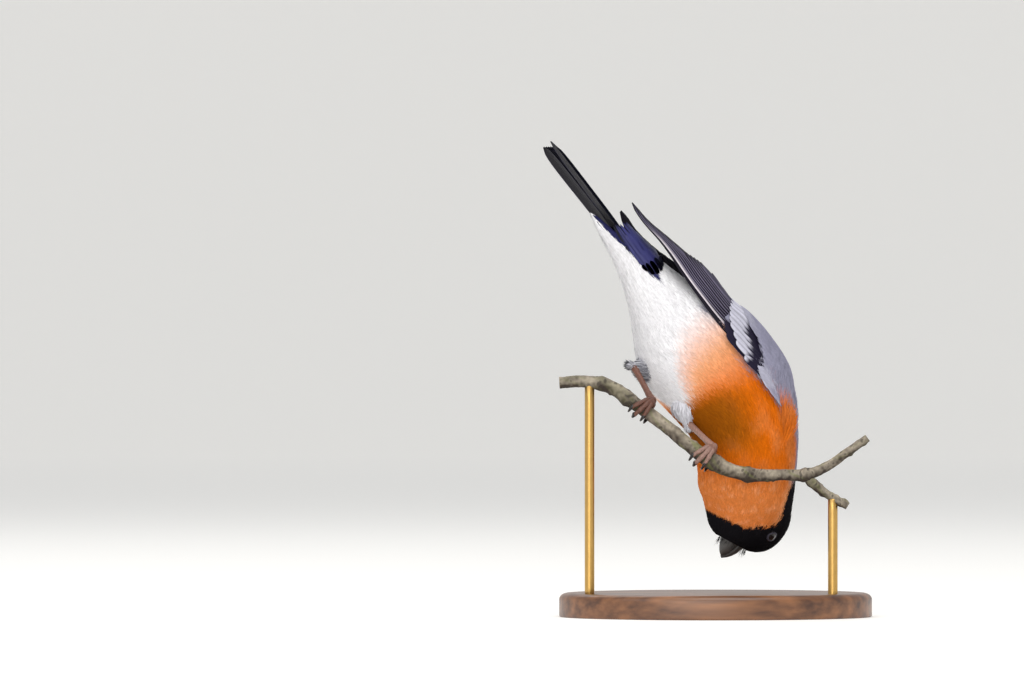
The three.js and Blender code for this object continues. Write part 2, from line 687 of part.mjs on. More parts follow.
function billHalf(upper) {
  const { steps, sides } = BILL;
  const tipForward = upper ? BILL.tip : BILL.lowerTip;
  const edgeRoot = upper ? BILL.culmenUp : BILL.chinUp;
  const edgeTip = upper ? BILL.tipUp : BILL.lowerTipUp;
  const away = upper ? 1 : -1;
  const mouthAt = (t) => THREE.MathUtils.lerp(BILL.mouthUp, BILL.mouthTipUp, t ** 2) + (away * GAP) / 2;
  const rings = [];
  for (let i = 0; i <= steps; i++) {
    const t = 0.985 * (i / steps);
    const forward = THREE.MathUtils.lerp(BILL.root, tipForward, t);
    const mouth = mouthAt(t);
    const power = upper ? BILL.culmenPower : BILL.chinPower;
    const profile = edgeTip + (edgeRoot - edgeTip) * Math.sqrt(1 - t ** power);
    const edge = upper ? Math.max(profile, mouth + 0.35) : Math.min(profile, mouth - 0.35);
    const half = BILL.halfWidth * Math.sqrt(1 - t ** BILL.widthPower) * (upper ? 1 : BILL.lowerWidth);
    rings.push(Array.from({ length: sides + 1 }, (_, j) => {
      const angle = (Math.PI * j) / sides;
      const up = mouth + (edge - mouth) * Math.sin(angle) ** BILL.domePower;
      return inFrame(billFrame, forward, up, half * Math.cos(angle));
    }));
  }
  const start = inFrame(billFrame, BILL.root, BILL.mouthUp + away, 0);
  const end = inFrame(billFrame, tipForward + 0.1, mouthAt(1) + away * 0.15, 0);
  return ringSolid(rings, start, end).subtract(bodyGrown);
}

function nostril(sign) {
  const { forward, up, side, radius, sides } = NOSTRIL;
  return ball(inFrame(billFrame, forward, up, sign * side), radius, sides);
}

function eyeCentre(sign) {
  return inFrame(eyeFrame, EYE.forward, EYE.up, sign * EYE.side);
}

// The rim of the lids round an eye
function lidRing(sign) {
  const out = eyeFrame.right.clone().multiplyScalar(sign)
    .addScaledVector(eyeFrame.forward, EYE.lookForward)
    .addScaledVector(eyeFrame.up, EYE.lookUp)
    .normalize();
  const geometry = new THREE.TorusGeometry(LID.radius, LID.thickness, LID.sides, LID.turns);
  geometry.applyQuaternion(new THREE.Quaternion().setFromUnitVectors(Z_AXIS, out));
  const centre = eyeCentre(sign).addScaledVector(out, EYE.radius * LID.out);
  geometry.translate(centre.x, centre.y, centre.z);
  return solidFromGeometry(geometry);
}

function headSolid(flesh) {
  const lids = [-1, 1].map(lidRing);
  const sockets = [-1, 1].map((sign) => ball(eyeCentre(sign), EYE.radius + GAP, EYE.sides));
  return sockets.reduce((head, socket) => head.subtract(socket), union([flesh, ...lids]));
}

// Stand

function baseSolid() {
  const { halfLength, halfDepth, height, edge, segments } = BASE;
  const inset = edge / halfDepth;
  const profile = [
    [0, 0], [1 - inset / 2, 0], [1, edge / 2], [1, height - edge], [1 - inset * 0.3, height - edge * 0.3],
    [1 - inset, height], [0, height],
  ];
  const geometry = new THREE.LatheGeometry(profile.map(([r, z]) => new THREE.Vector2(r, z)), segments);
  geometry.rotateX(Math.PI / 2);
  geometry.scale(halfLength, halfDepth, 1);
  const holes = [ROD.leftX, ROD.rightX].map((x) =>
    uprightCylinder(x, TWIG_Y, height - ROD.sunk - GAP, height + 5, ROD.radius + GAP, ROD.sides));
  return holes.reduce((base, hole) => base.subtract(hole), solidFromGeometry(geometry));
}

function rodSolid(x, stations) {
  const top = twigPoint(stations, stationAtX(stations, x)).z;
  const rod = uprightCylinder(x, TWIG_Y, BASE.height - ROD.sunk, top, ROD.radius, ROD.sides);
  return rod.subtract(twigGrown);
}

// Materials

function finish(colour, roughness, metalness = 0) {
  return new THREE.MeshStandardMaterial({ color: colour, roughness, metalness });
}

const ORANGE = finish(0xd8672a, 0.85);
const BLACK = finish(0x17161c, 0.5);
const WHITE = finish(0xe9e6e2, 0.9);
const HORN = finish(0x2b2a2c, 0.4);
const EYE_DARK = finish(0x120c0a, 0.1);
const SKIN = finish(0x6d4638, 0.6);
const BARK = finish(0x8d8472, 0.9);
const WOOD = finish(0x7a5233, 0.5);
const BRASS = finish(0xb08d4f, 0.35, 1);

// The model

const model = new THREE.Group();

function put(name, solid, material) {
  model.add(meshFrom(name, solid, material));
}

const { behind: torso, ahead: front } = splitAcross(body, NECK_CUT);
const { behind: neck, ahead: face } = splitAcross(front, HEAD_CUT);
put("torso", torso, ORANGE);
put("neck", neck, ORANGE);
put("head", headSolid(face), BLACK);
put("eye_left", ball(eyeCentre(-1), EYE.radius, EYE.sides), EYE_DARK);
put("eye_right", ball(eyeCentre(1), EYE.radius, EYE.sides), EYE_DARK);
put("bill_upper", billHalf(true).subtract(nostril(-1)).subtract(nostril(1)), HORN);
put("bill_lower", billHalf(false), HORN);
put("tail", tailSolid(), BLACK);
put("tail_coverts", tailCovertSolid(), BLACK);
put("wing_left", wingSolid("left"), BLACK);
put("wing_right", wingSolid("right"), BLACK);
for (const [side, foot] of Object.entries(FEET)) {
  const shankRoom = shankSolid(foot, GAP);
  put(`thigh_${side}`, thighSolid(foot).subtract(bodyGrown).subtract(shankRoom), WHITE);
  put(`shank_${side}`, shankSolid(foot, 0).subtract(bodyGrown), SKIN);
  put(`foot_${side}`, footSolid(foot).subtract(shankRoom), SKIN);
}
put("perch", twigSolid(0), BARK);
put("stand_base", baseSolid(), WOOD);
put("stand_rod_left", rodSolid(ROD.leftX, TWIG), BRASS);
put("stand_rod_right", rodSolid(ROD.rightX, FORK), BRASS);

export default model;
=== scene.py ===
"""A male bullfinch, life size, hanging head down behind a cut twig on an oval stand.

The body is one loft: sections along the spine, each with a centre, a heading, a roll, a half width and
a depth to the back and to the belly, joined by smooth curves. Every feather is laid on that loft, on the
bed of a folded wing or on the bed of the tail, by two numbers: how far along it and how far across or
round it. Sizes are millimetres until a mesh is made.
"""

import bpy
import numpy as np
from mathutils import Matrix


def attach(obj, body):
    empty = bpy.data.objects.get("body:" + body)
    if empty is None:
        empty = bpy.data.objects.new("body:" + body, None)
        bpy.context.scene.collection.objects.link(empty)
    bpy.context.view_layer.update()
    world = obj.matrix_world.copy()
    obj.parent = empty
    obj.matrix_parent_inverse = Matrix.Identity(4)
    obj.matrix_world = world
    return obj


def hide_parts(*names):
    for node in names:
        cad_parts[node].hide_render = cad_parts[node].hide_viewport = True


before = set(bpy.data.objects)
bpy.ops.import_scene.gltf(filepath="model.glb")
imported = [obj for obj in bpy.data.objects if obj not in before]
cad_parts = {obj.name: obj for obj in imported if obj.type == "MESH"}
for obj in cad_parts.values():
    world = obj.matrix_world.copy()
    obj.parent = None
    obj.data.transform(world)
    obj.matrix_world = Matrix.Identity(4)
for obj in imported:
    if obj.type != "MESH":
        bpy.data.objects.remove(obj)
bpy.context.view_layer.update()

# The room: a wide pale bowl of paper that is floor and backdrop all round, four large soft lamps, and a level
# camera a long way off, so that the bird shows almost without perspective. One millimetre of bird is three
# pixels wide.
MM = 0.001
PIXELS_PER_MM = 3.0
PICTURE_WIDTH = 1024
CAMERA_X, CAMERA_Z, CAMERA_AWAY = -67.67, 91.67, 3000.0
SPINE_Y = 8.0
SENSOR = 36.0
PAPER_GLOW = 0.25
BOWL_RADIUS, BEND_RADIUS, WALL_TOP = 4200.0, 1400.0, 2200.0
BIRD_MIDDLE = (0.0, 0.008, 0.085)
LAMPS = [
    # name, place in metres, size in metres, watts, colour
    ("lamp_overhead", (0.1, -0.6, 1.3), 0.9, 9.5, (1.0, 0.98, 0.95)),
    ("lamp_left", (-1.0, -0.9, 0.95), 0.9, 3.0, (0.96, 0.98, 1.0)),
    ("lamp_front", (-0.3, -1.45, 0.4), 1.0, 8.5, (1.0, 0.98, 0.96)),
    ("lamp_behind", (-0.4, 0.9, 1.2), 0.8, 4.0, (1.0, 1.0, 1.0)),
]
AIR_COLOUR, AIR_STRENGTH = (0.93, 0.96, 1.0, 1.0), 0.5


def mesh_piece(name, points, faces, material):
    """A smooth object at the origin, from points in millimetres and arrays of three- or four-sided faces."""
    mesh = bpy.data.meshes.new(name)
    sizes = np.concatenate([np.full(len(block), block.shape[1]) for block in faces])
    corners = np.concatenate([np.asarray(block).ravel() for block in faces]).astype(np.int32)
    mesh.vertices.add(len(points))
    mesh.vertices.foreach_set("co", (np.asarray(points) * MM).astype(np.float32).ravel())
    mesh.loops.add(len(corners))
    mesh.loops.foreach_set("vertex_index", corners)
    mesh.polygons.add(len(sizes))
    starts = np.concatenate([[0], np.cumsum(sizes)[:-1]]).astype(np.int32)
    mesh.polygons.foreach_set("loop_start", starts)
    mesh.polygons.foreach_set("use_smooth", np.full(len(sizes), True))
    mesh.update(calc_edges=True)
    mesh.validate()
    mesh.materials.append(material)
    piece = bpy.data.objects.new(name, mesh)
    bpy.context.scene.collection.objects.link(piece)
    return piece


def paint(red, green, blue):
    """A colour given as it looks on a screen, 0 to 255, as the linear values that a material takes."""
    value = np.array([red, green, blue]) / 255.0
    return np.where(value <= 0.04045, value / 12.92, ((value + 0.055) / 1.055) ** 2.4)


def new_material(name, colour, roughness):
    """A material with its shader, ready for nodes."""
    material = bpy.data.materials.new(name)
    material.use_nodes = True
    shader = material.node_tree.nodes["Principled BSDF"]
    shader.inputs["Base Color"].default_value = (*colour, 1.0)
    shader.inputs["Roughness"].default_value = roughness
    return material, shader


def grid(first, second):
    """Two arrays that pair every value of the first list with every value of the second."""
    return np.meshgrid(first, second, indexing="ij")


def full_turn(count):
    """So many angles evenly round a circle."""
    return np.linspace(0, 2 * np.pi, count, endpoint=False)


def ring_quads(rings, sides):
    """The faces between rings of points that follow one another, each ring closed round."""
    i, j = grid(np.arange(rings - 1), np.arange(sides))
    a, b = (i * sides + j).ravel(), (i * sides + (j + 1) % sides).ravel()
    return np.stack([a, b, b + sides, a + sides], -1)


def turned_sheet(profile, sides):
    """A sheet turned about the upright axis from a profile of radius and height, outermost point last."""
    turn = full_turn(sides)
    points = np.stack([profile[:, :1] * np.cos(turn), profile[:, :1] * np.sin(turn),
                       np.broadcast_to(profile[:, 1:], (len(profile), sides))], -1).reshape(-1, 3)
    return points, ring_quads(len(profile), sides)[:, [0, 3, 2, 1]]


floor_material, floor_shader = new_material("floor_paper", paint(232, 230, 226), 0.85)
floor_shader.inputs["Emission Color"].default_value = (1.0, 0.99, 0.97, 1.0)
floor_shader.inputs["Emission Strength"].default_value = PAPER_GLOW
bend = np.linspace(0, np.pi / 2, 25)
bowl_profile = np.concatenate([
    [[1.0, 0.0]],
    np.stack([BOWL_RADIUS + BEND_RADIUS * np.sin(bend), BEND_RADIUS * (1 - np.cos(bend))], -1),
    [[BOWL_RADIUS + BEND_RADIUS, WALL_TOP]],
])
points, quads = turned_sheet(bowl_profile, 96)
floor = mesh_piece("floor", points, [quads], floor_material)


def soft_lamp(name, place, size, watts, tint):
    """A square area lamp at a place in metres, turned to the bird."""
    lamp = bpy.data.lights.new(name, "AREA")
    lamp.size, lamp.energy, lamp.color = size, watts, tint
    holder = bpy.data.objects.new(name, lamp)
    holder.location = place
    toward = np.array(BIRD_MIDDLE) - np.array(place)
    flat = np.hypot(toward[0], toward[1])
    holder.rotation_euler = (np.arctan2(flat, -toward[2]), 0, np.arctan2(-toward[0], toward[1]))
    bpy.context.scene.collection.objects.link(holder)


for lamp in LAMPS:
    soft_lamp(*lamp)
bpy.context.scene.view_settings.view_transform = "Standard"

world = bpy.data.worlds.new("studio_air")
world.use_nodes = True
world.node_tree.nodes["Background"].inputs["Color"].default_value = AIR_COLOUR
world.node_tree.nodes["Background"].inputs["Strength"].default_value = AIR_STRENGTH
bpy.context.scene.world = world

camera_data = bpy.data.cameras.new("camera")
camera_data.sensor_width = SENSOR
camera_data.lens = SENSOR * PIXELS_PER_MM * (CAMERA_AWAY + SPINE_Y) / PICTURE_WIDTH
camera_data.clip_end = 50.0
camera = bpy.data.objects.new("camera", camera_data)
camera.location = (CAMERA_X * MM, -CAMERA_AWAY * MM, CAMERA_Z * MM)
camera.rotation_euler = (np.pi / 2, 0, 0)
bpy.context.scene.collection.objects.link(camera)
bpy.context.scene.camera = camera


# The bird's skin: one closed shape under all the small feathers, from the under-tail coverts to the face.
# It wears the same markings as the feathers over it, so that none shows bare between them.
SECTIONS = np.array([
    # x, z, heading, roll, half width, depth of back, depth of belly
    (-41.4, 134.4, 52.0, 17, 0.8, 0.5, 0.5),    # tip of the under-tail coverts
    (-35.7, 127.4, 52.0, 18, 4.6, 1.3, 2.4),
    (-28.7, 120.1, 52.5, 20, 7.4, 5.0, 5.6),    # tail root
    (-21.7, 111.0, 53.0, 22, 9.4, 8.2, 9.8),
    (-15.7, 102.7, 54.0, 26, 13.6, 11.4, 14.9),  # rump
    (-9.8, 94.2, 55.0, 30, 18.2, 16.2, 20.0),
    (-4.2, 86.8, 57.0, 33, 20.8, 19.2, 21.4),   # belly
    (4.8, 75.0, 66.0, 37, 20.6, 20.2, 20.8),    # breast
    (10.0, 61.7, 80.0, 41, 18.2, 17.4, 17.6),   # shoulders
    (10.7, 49.0, 91.0, 44, 16.4, 16.5, 16.8),   # neck
    (10.7, 40.7, 100.0, 45, 15.2, 15.8, 17.9),
    (10.7, 34.7, 108.0, 45, 14.0, 15.4, 17.2),  # crown
    (9.3, 30.7, 114.0, 45, 12.2, 15.0, 15.4),   # eyes
    (8.0, 27.7, 117.0, 45, 10.0, 13.4, 13.8),
    (7.0, 25.7, 118.0, 45, 7.8, 10.8, 12.2),    # bill root
    (6.2, 24.2, 118.0, 45, 5.2, 7.0, 9.0),      # front of the face
])
FACE_END = len(SECTIONS) - 1.0
EYE_SECTION = 12.0
COAT_DEPTH = 1.0

WHITE = paint(238, 237, 240)
PINK = paint(240, 206, 194)
PEACH = paint(236, 166, 118)
ORANGE = paint(216, 104, 2)
# partly the belly's own deeper orange, partly painted shade on the lower belly
DEEP_ORANGE_AND_SHADE = paint(146, 78, 2)
ROSE_ORANGE = paint(218, 126, 62)
GREY = paint(148, 147, 168)
BLACK = paint(18, 16, 20)
TAIL_SIDE_VIOLET = paint(46, 47, 90)
# where the black cap and bib begin, as degrees round from the back and section numbers
CAP_AROUND = [0, 45, 63, 70, 75, 79, 86, 88, 102, 113, 119, 136, 170, 180]
CAP_FROM = [9.3, 9.35, 9.43, 9.62, 9.83, 10.38, 11.1, 11.32, 11.7, 11.95, 12.2, 12.3, 12.35, 12.4]
# where the white of the belly begins to warm, and where it has turned to full orange
BREAST_AROUND = [0, 92, 112, 126, 140, 155, 165, 175, 185]
WARM_FROM = [4.5, 4.5, 4.6, 4.8, 5.3, 6.1, 6.7, 7.0, 7.2]
ORANGE_FROM = [6.9, 6.9, 7.0, 7.0, 6.95, 7.05, 7.15, 7.3, 7.5]
# how far down from the back the grey mantle reaches, by section number
MANTLE_AT = [4.5, 6.2, 6.6, 6.9, 7.35, 7.6, 7.85, 8.4, 9.0, 9.3, 9.6]
MANTLE_AROUND = [86, 88, 97, 97, 91, 84, 76, 60, 56, 74, 66]
# the glossy black over the tail's root ends here on the back and sides
TAIL_BLACK_AROUND = [0, 26, 73, 88, 92, 95, 98, 104, 110, 113, 116]
TAIL_BLACK_TO = [2.2, 2.3, 2.8, 3.05, 3.3, 3.3, 3.0, 2.4, 1.5, 0.6, -0.5]


def smooth_through(rows, place):
    """The smooth curve through one row of values at each whole number, where its slope is half the step
    between its neighbours."""
    rows = np.asarray(rows, float)
    last = len(rows) - 1
    place = np.clip(np.asarray(place, float), 0, last)
    start = np.minimum(place.astype(int), last - 1)
    f = (place - start).reshape(place.shape + (1,) * (rows.ndim - 1))
    a, b = rows[start], rows[start + 1]
    slope_a = (b - rows[np.maximum(start - 1, 0)]) / np.where(start > 0, 2, 1).reshape(f.shape)
    slope_b = (rows[np.minimum(start + 2, last)] - a) / np.where(start + 2 <= last, 2, 1).reshape(f.shape)
    return ((2 * f**3 - 3 * f**2 + 1) * a + (f**3 - 2 * f**2 + f) * slope_a
            + (3 * f**2 - 2 * f**3) * b + (f**3 - f**2) * slope_b)


def frame_axes(heading, roll):
    """Forward by its heading below level, up through the back, and out to the bird's right."""
    heading, roll = np.radians(heading), np.radians(roll)
    zero = np.zeros_like(heading)
    forward = np.stack([np.cos(heading), zero, -np.sin(heading)], -1)
    level = np.stack([np.sin(heading), zero, np.cos(heading)], -1)
    up = level * np.cos(roll)[..., None] + np.array([0.0, 1.0, 0.0]) * np.sin(roll)[..., None]
    return forward, up, np.cross(forward, up)


def body(s, around, lift=0.0):
    """A point on the body at section number s and at degrees round it: 0 on the back, 90 right, 180 belly."""
    s, around = np.broadcast_arrays(np.asarray(s, float), np.asarray(around, float))
    row = smooth_through(SECTIONS, s)
    centre = np.stack([row[..., 0], np.full(s.shape, SPINE_Y), row[..., 1]], -1)
    _, up, right = frame_axes(row[..., 2], row[..., 3])
    angle = np.radians(around)
    depth = np.where(np.cos(angle) > 0, row[..., 5], row[..., 6]) + lift
    across = (row[..., 4] + lift) * np.sin(angle)
    return centre + up * (depth * np.cos(angle))[..., None] + right * across[..., None]


def tube_faces(rings, sides):
    """Faces of a closed tube whose points are its rings in turn, then a pole at either end."""
    j = np.arange(sides)
    after, last, pole = (j + 1) % sides, (rings - 1) * sides, rings * sides
    caps = np.concatenate([
        np.stack([np.full(sides, pole), after, j], -1),
        np.stack([np.full(sides, pole + 1), last + j, last + after], -1),
    ])
    return [ring_quads(rings, sides), caps]


def outward(points, faces):
    """The faces, turned round if together they point inwards."""
    volume = 0.0
    for block in faces:
        for k in range(1, block.shape[1] - 1):
            a, b, c = points[block[:, 0]], points[block[:, k]], points[block[:, k + 1]]
            volume += np.einsum("ij,ij->", a, np.cross(b, c))
    return faces if volume > 0 else [block[:, ::-1] for block in faces]


def tube(rings, start, end):
    """A closed tube through rings of points, shaped (rings, sides, 3), with a pole point at either end."""
    points = np.concatenate([rings.reshape(-1, 3), start[None], end[None]])
    return points, outward(points, tube_faces(rings.shape[0], rings.shape[1]))


def blend(low, high, share):
    """From one colour to another by a share of 0 to 1."""
    share = np.clip(share, 0, 1)[..., None]
    return low * (1 - share) + high * share


def ramp(value, start, end):
    """A soft step from 0 at start to 1 at end."""
    t = np.clip((value - start) / (end - start), 0, 1)
    return t * t * (3 - 2 * t)


def waves(u, v, seed, count=9, low=1.0, high=6.0):
    """Uneven waves over two numbers: a sum of sines in random directions, about -1 to 1."""
    pick = np.random.default_rng(seed)
    total = np.zeros(np.broadcast(u, v).shape)
    for _ in range(count):
        rate, way, phase = pick.uniform(low, high), pick.uniform(0, 2 * np.pi), pick.uniform(0, 2 * np.pi)
        total = total + np.sin(rate * (u * np.cos(way) + v * np.sin(way)) + phase)
    return total / np.sqrt(count)


def plumage(s, around):
    """The colour of the small feathers at a section number and at degrees round from the back."""
    down = np.abs((np.asarray(around, float) + 180) % 360 - 180)
    s = np.asarray(s, float)
    start, end = np.interp(down, BREAST_AROUND, WARM_FROM), np.interp(down, BREAST_AROUND, ORANGE_FROM)
    share = (s - start) / (end - start)
    warm = blend(WHITE, PINK, ramp(share, 0.0, 0.45))
    warm = blend(warm, PEACH, ramp(share, 0.3, 0.75))
    warm = blend(warm, ORANGE, ramp(share, 0.6, 1.1))
    rosy = ramp(waves(s * 1.6, down / 22, 21), -0.2, 1.3) * ramp(share, 0.9, 1.5)
    warm = blend(warm, ROSE_ORANGE, 0.75 * rosy)
    # the lower belly beside the thighs is painted a deeper, browner orange: partly its own colour, partly
    # painted shade
    warm = blend(warm, DEEP_ORANGE_AND_SHADE, ramp(down, 100, 145) * ramp(s, 6.7, 7.3) * (1 - ramp(s, 8.0, 9.2)))
    warm = blend(warm, ROSE_ORANGE, ramp(s, 8.6, 10.2))
    mantle = np.interp(s, MANTLE_AT, MANTLE_AROUND)
    warm = blend(warm, GREY, ramp(down, mantle + 7, mantle - 5) * ramp(s, 4.5, 4.9))
    tail_black = np.interp(down, TAIL_BLACK_AROUND, TAIL_BLACK_TO)
    violet = ramp(down, 45, 62) * ramp(down, 118, 108)
    warm = blend(warm, blend(BLACK, TAIL_SIDE_VIOLET, violet), ramp(s, tail_black + 0.12, tail_black - 0.06))
    mottled = ramp(waves(s * 2.4, down / 13, 41), 0.1, 1.4) * ramp(s, 8.8, 9.8)
    warm = blend(warm, PEACH, 0.4 * mottled)
    cap = np.interp(down, CAP_AROUND, CAP_FROM)
    rim = ramp(s, cap - 1.3, cap - 0.3) * ramp(down, 55, 66) * ramp(down, 96, 84)
    warm = blend(warm, PEACH, 0.5 * rim)
    cap = cap + 0.16 * ramp(down, 78, 92) * waves(down / 7, s * 0.8, 33)
    return blend(warm, BLACK, ramp(s, cap - 0.09, cap + 0.09))


def wear_colours(piece, colours):
    """Stores one linear colour for each point as the attribute that the plumage material reads."""
    layer = piece.data.color_attributes.new("plumage", "FLOAT_COLOR", "POINT")
    rgba = np.concatenate([colours, np.ones((len(colours), 1))], -1)
    layer.data.foreach_set("color", rgba.astype(np.float32).ravel())


def lay_out(piece, name, places):
    """A UV map by that name from one place for each point."""
    layer = piece.data.uv_layers.new(name=name)
    corners = np.empty(len(piece.data.loops), np.int32)
    piece.data.loops.foreach_get("vertex_index", corners)
    layer.data.foreach_set("uv", places[corners].astype(np.float32).ravel())


def feed(tree, node, inputs):
    """Sets inputs of a node, each to a value or to a link from another node's output."""
    for name, value in inputs.items():
        if isinstance(value, bpy.types.NodeSocket):
            tree.links.new(value, node.inputs[name])
        else:
            node.inputs[name].default_value = value
    return node


def add_node(tree, kind, inputs, **settings):
    """A new shader node of a kind, with its settings and its inputs."""
    node = tree.nodes.new("ShaderNode" + kind)
    for name, value in settings.items():
        setattr(node, name, value)
    return feed(tree, node, inputs)


def maths(tree, operation, *values):
    """The outcome of one sum on values or on other nodes' outputs."""
    return add_node(tree, "Math", dict(enumerate(values)), operation=operation).outputs[0]


def streak_group():
    """Fine streaks along no one line: noise that lightens and darkens a colour and gives a height."""
    group = bpy.data.node_groups.new("fine_streaks", "ShaderNodeTree")
    for label, kind, value in (
            ("Color", "NodeSocketColor", (1, 1, 1, 1)), ("Scale", "NodeSocketFloat", 900.0),
            ("Amount", "NodeSocketFloat", 0.15)):
        group.interface.new_socket(label, in_out="INPUT", socket_type=kind).default_value = value
    group.interface.new_socket("Color", in_out="OUTPUT", socket_type="NodeSocketColor")
    group.interface.new_socket("Height", in_out="OUTPUT", socket_type="NodeSocketFloat")
    given = group.nodes.new("NodeGroupInput").outputs
    place = add_node(group, "TexCoord", {})
    noise = add_node(group, "TexNoise", {"Vector": place.outputs["Object"], "Scale": given["Scale"],
                                         "Detail": 3.0})
    spread = maths(group, "MULTIPLY_ADD", maths(group, "SUBTRACT", noise.outputs["Fac"], 0.5),
                   given["Amount"], 1.0)
    scaled = add_node(group, "VectorMath", {0: given["Color"], "Scale": spread}, operation="SCALE")
    feed(group, group.nodes.new("NodeGroupOutput"), {"Color": scaled.outputs[0],
                                                     "Height": noise.outputs["Fac"]})
    return group


FINE_STREAKS = streak_group()


def attribute_material(name, roughness, scale, amount, bump, shine=0.5):
    """A finish that reads the stored colours, streaked finely, with a little bump from the same streaks."""
    material, shader = new_material(name, (0.5, 0.5, 0.5), roughness)
    tree = material.node_tree
    stored = add_node(tree, "Attribute", {}, attribute_name="plumage")
    streaks = add_node(tree, "Group", {}, node_tree=FINE_STREAKS)
    feed(tree, streaks, {"Color": stored.outputs["Color"], "Scale": scale, "Amount": amount})
    raised = add_node(tree, "Bump", {"Height": streaks.outputs["Height"], "Strength": bump,
                                     "Distance": 0.0002})
    feed(tree, shader, {"Base Color": streaks.outputs["Color"], "Normal": raised.outputs["Normal"],
                        "Specular IOR Level": shine})
    return material, shader


down_material, _ = attribute_material("down", 0.8, 1400.0, 0.3, 0.2, shine=0.08)

skin_s, skin_around = grid(np.linspace(0, FACE_END, 181), np.linspace(0, 360, 144, endpoint=False))
skin_lift = -np.minimum(COAT_DEPTH, 0.45 + 0.4 * skin_s)
skin_points, skin_faces = tube(
    body(skin_s, skin_around, skin_lift), body(0, 0, -0.5), body(FACE_END, 0, -SECTIONS[-1, 5]))
skin = mesh_piece("skin", skin_points, skin_faces, down_material)
skin_colours = plumage(skin_s, skin_around).reshape(-1, 3)
wear_colours(skin, np.concatenate([skin_colours, WHITE[None], BLACK[None]]))
skin_places = np.stack([skin_around / 360, skin_s / FACE_END], -1).reshape(-1, 2)
lay_out(skin, "OFBake", np.concatenate([skin_places, [[0.0, 0.0], [0.0, 1.0]]]))
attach(skin, "root")
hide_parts("torso", "neck", "head")


# The coat: thousands of small feathers and loose barbs, each a thin closed wedge that is rooted under the
# skin and lies back along the body towards the tail. They are longest on the vent and finest on the face.
EYE_PLACE = {"forward": -0.9, "up": 2.6, "side": 9.3}
EYE_LEAN = {"forward": 0.3, "up": 0.08}
EYE_CLEAR = 2.0
# lengths and widths, each at section numbers
FEATHER_LENGTH = ([0, 2, 4, 6.5, 9, 10.5, 12, 15], [6, 7, 8.5, 8, 6.5, 4.2, 2.6, 1.7])
FEATHER_WIDTH = ([0, 4, 9, 12, 15], [1.3, 2.0, 1.6, 0.85, 0.6])
BARB_LENGTH = ([0, 2, 4, 6.5, 9, 10.5, 12, 15], [5, 6, 7, 6.5, 5, 3.2, 2.0, 1.4])
BARB_WIDTH = ([0, 4, 9, 12, 15], [0.3, 0.36, 0.32, 0.25, 0.2])
BARBS = 10600
LYING_LOW = (-0.4, -0.2)
FEATHER_THICK, FINE_THICK = 0.09, 0.08
LENGTH_SPREAD, WIDTH_SPREAD, ASIDE_SPREAD, SHADE_SPREAD = (0.75, 1.2), (0.7, 1.25), 3.0, 0.07
# how much of a wedge's own shading shows through the body's
FACET_SHARE = 0.3
# a wedge has three rings of three points and a tip: their shares of its length, and their widths
WEDGE_SHARE = np.array([0.0, 0.32, 0.72, 1.0])
WEDGE_SWELL = np.array([0.55, 1.0, 0.72, 0.0])
WEDGE_RING = np.repeat(np.arange(4), [3, 3, 3, 1])
WEDGE_POINTS = len(WEDGE_RING)
# how large a wedge is on the baking map
PATCH = 0.003
# one over the plastic number, and one over its square
SCATTER_STEPS = np.array([0.7548776662, 0.5698402910])
draw = np.random.default_rng(7)


def even_scatter(count):
    """Pairs between 0 and 1, spread evenly: multiples of the two steps, less their whole parts."""
    return (np.arange(count)[:, None] * SCATTER_STEPS + draw.random(2)) % 1.0


def copies(faces, points_each, count):
    """The faces of one shape, for count such shapes whose points follow one another."""
    offset = (np.arange(count) * points_each)[:, None, None]
    return [(block[None] + offset).reshape(-1, block.shape[1]) for block in faces]


def unit(vectors):
    """Each vector at length 1."""
    return vectors / np.maximum(np.linalg.norm(vectors, axis=-1, keepdims=True), 1e-9)


def wedges(surface, root, tip, width, thick, rise, sink):
    """Thin closed wedges on a surface(u, v, lift): three three-cornered rings and a point. Each starts sink
    under the surface, rises by rise at its tip, and is widest in the middle."""
    count, share = len(root), WEDGE_SHARE
    u, v = [root[:, None, k] + (tip - root)[:, None, k] * share for k in range(2)]
    lift = -sink[:, None] * (1 - share) ** 1.6 + rise[:, None] * share ** 1.3
    centre = surface(u, v, lift)
    out = unit(surface(u, v, lift + 0.5) - centre)
    along = unit(np.gradient(centre, axis=1))
    across = unit(np.cross(along, out))
    half = (width[:, None] * WEDGE_SWELL / 2)[..., None]
    crown = (thick * WEDGE_SWELL)[None, :, None]
    rings = np.stack([centre - across * half, centre + across * half, centre + out * crown], 2)
    points = np.concatenate([rings[:, :3].reshape(count, 9, 3), centre[:, 3:]], 1)
    j = np.arange(3)
    after = (j + 1) % 3
    quads = np.concatenate([np.stack([k * 3 + j, k * 3 + after, k * 3 + 3 + after, k * 3 + 3 + j], -1)
                            for k in range(2)])
    ends = np.concatenate([[[2, 1, 0]], np.stack([6 + j, 6 + after, np.full(3, 9)], -1)])
    faces = copies(outward(points[0], [quads, ends]), WEDGE_POINTS, count)
    return points.reshape(-1, 3), faces, out[:, WEDGE_RING].reshape(-1, 3)


def coat_piece(name, surface, root, tip, width, colour, thick, rise, sink, bake):
    """Joins one batch of wedges to one object, with a colour for each and a patch of the baking map. Its
    shading normals are the body's own, leaning a little to each wedge's, as loose down has no facets."""
    points, faces, out = wedges(surface, root, tip, width, thick, rise, sink)
    piece = mesh_piece(name, points, faces, down_material)
    facets = np.empty(len(points) * 3, np.float32)
    piece.data.vertex_normals.foreach_get("vector", facets)
    soft = unit(out + FACET_SHARE * facets.reshape(-1, 3))
    piece.data.normals_split_custom_set_from_vertices(soft.astype(np.float32))
    wear_colours(piece, np.repeat(colour, WEDGE_POINTS, axis=0))
    side = np.array([-1, 1, 0, -1, 1, 0, -1, 1, 0, 0]) / 2
    patch = bake[:, None, :] + PATCH * np.stack([side, WEDGE_SHARE[WEDGE_RING]], -1)[None]
    lay_out(piece, "OFBake", patch.reshape(-1, 2))
    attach(piece, "root")
    return piece


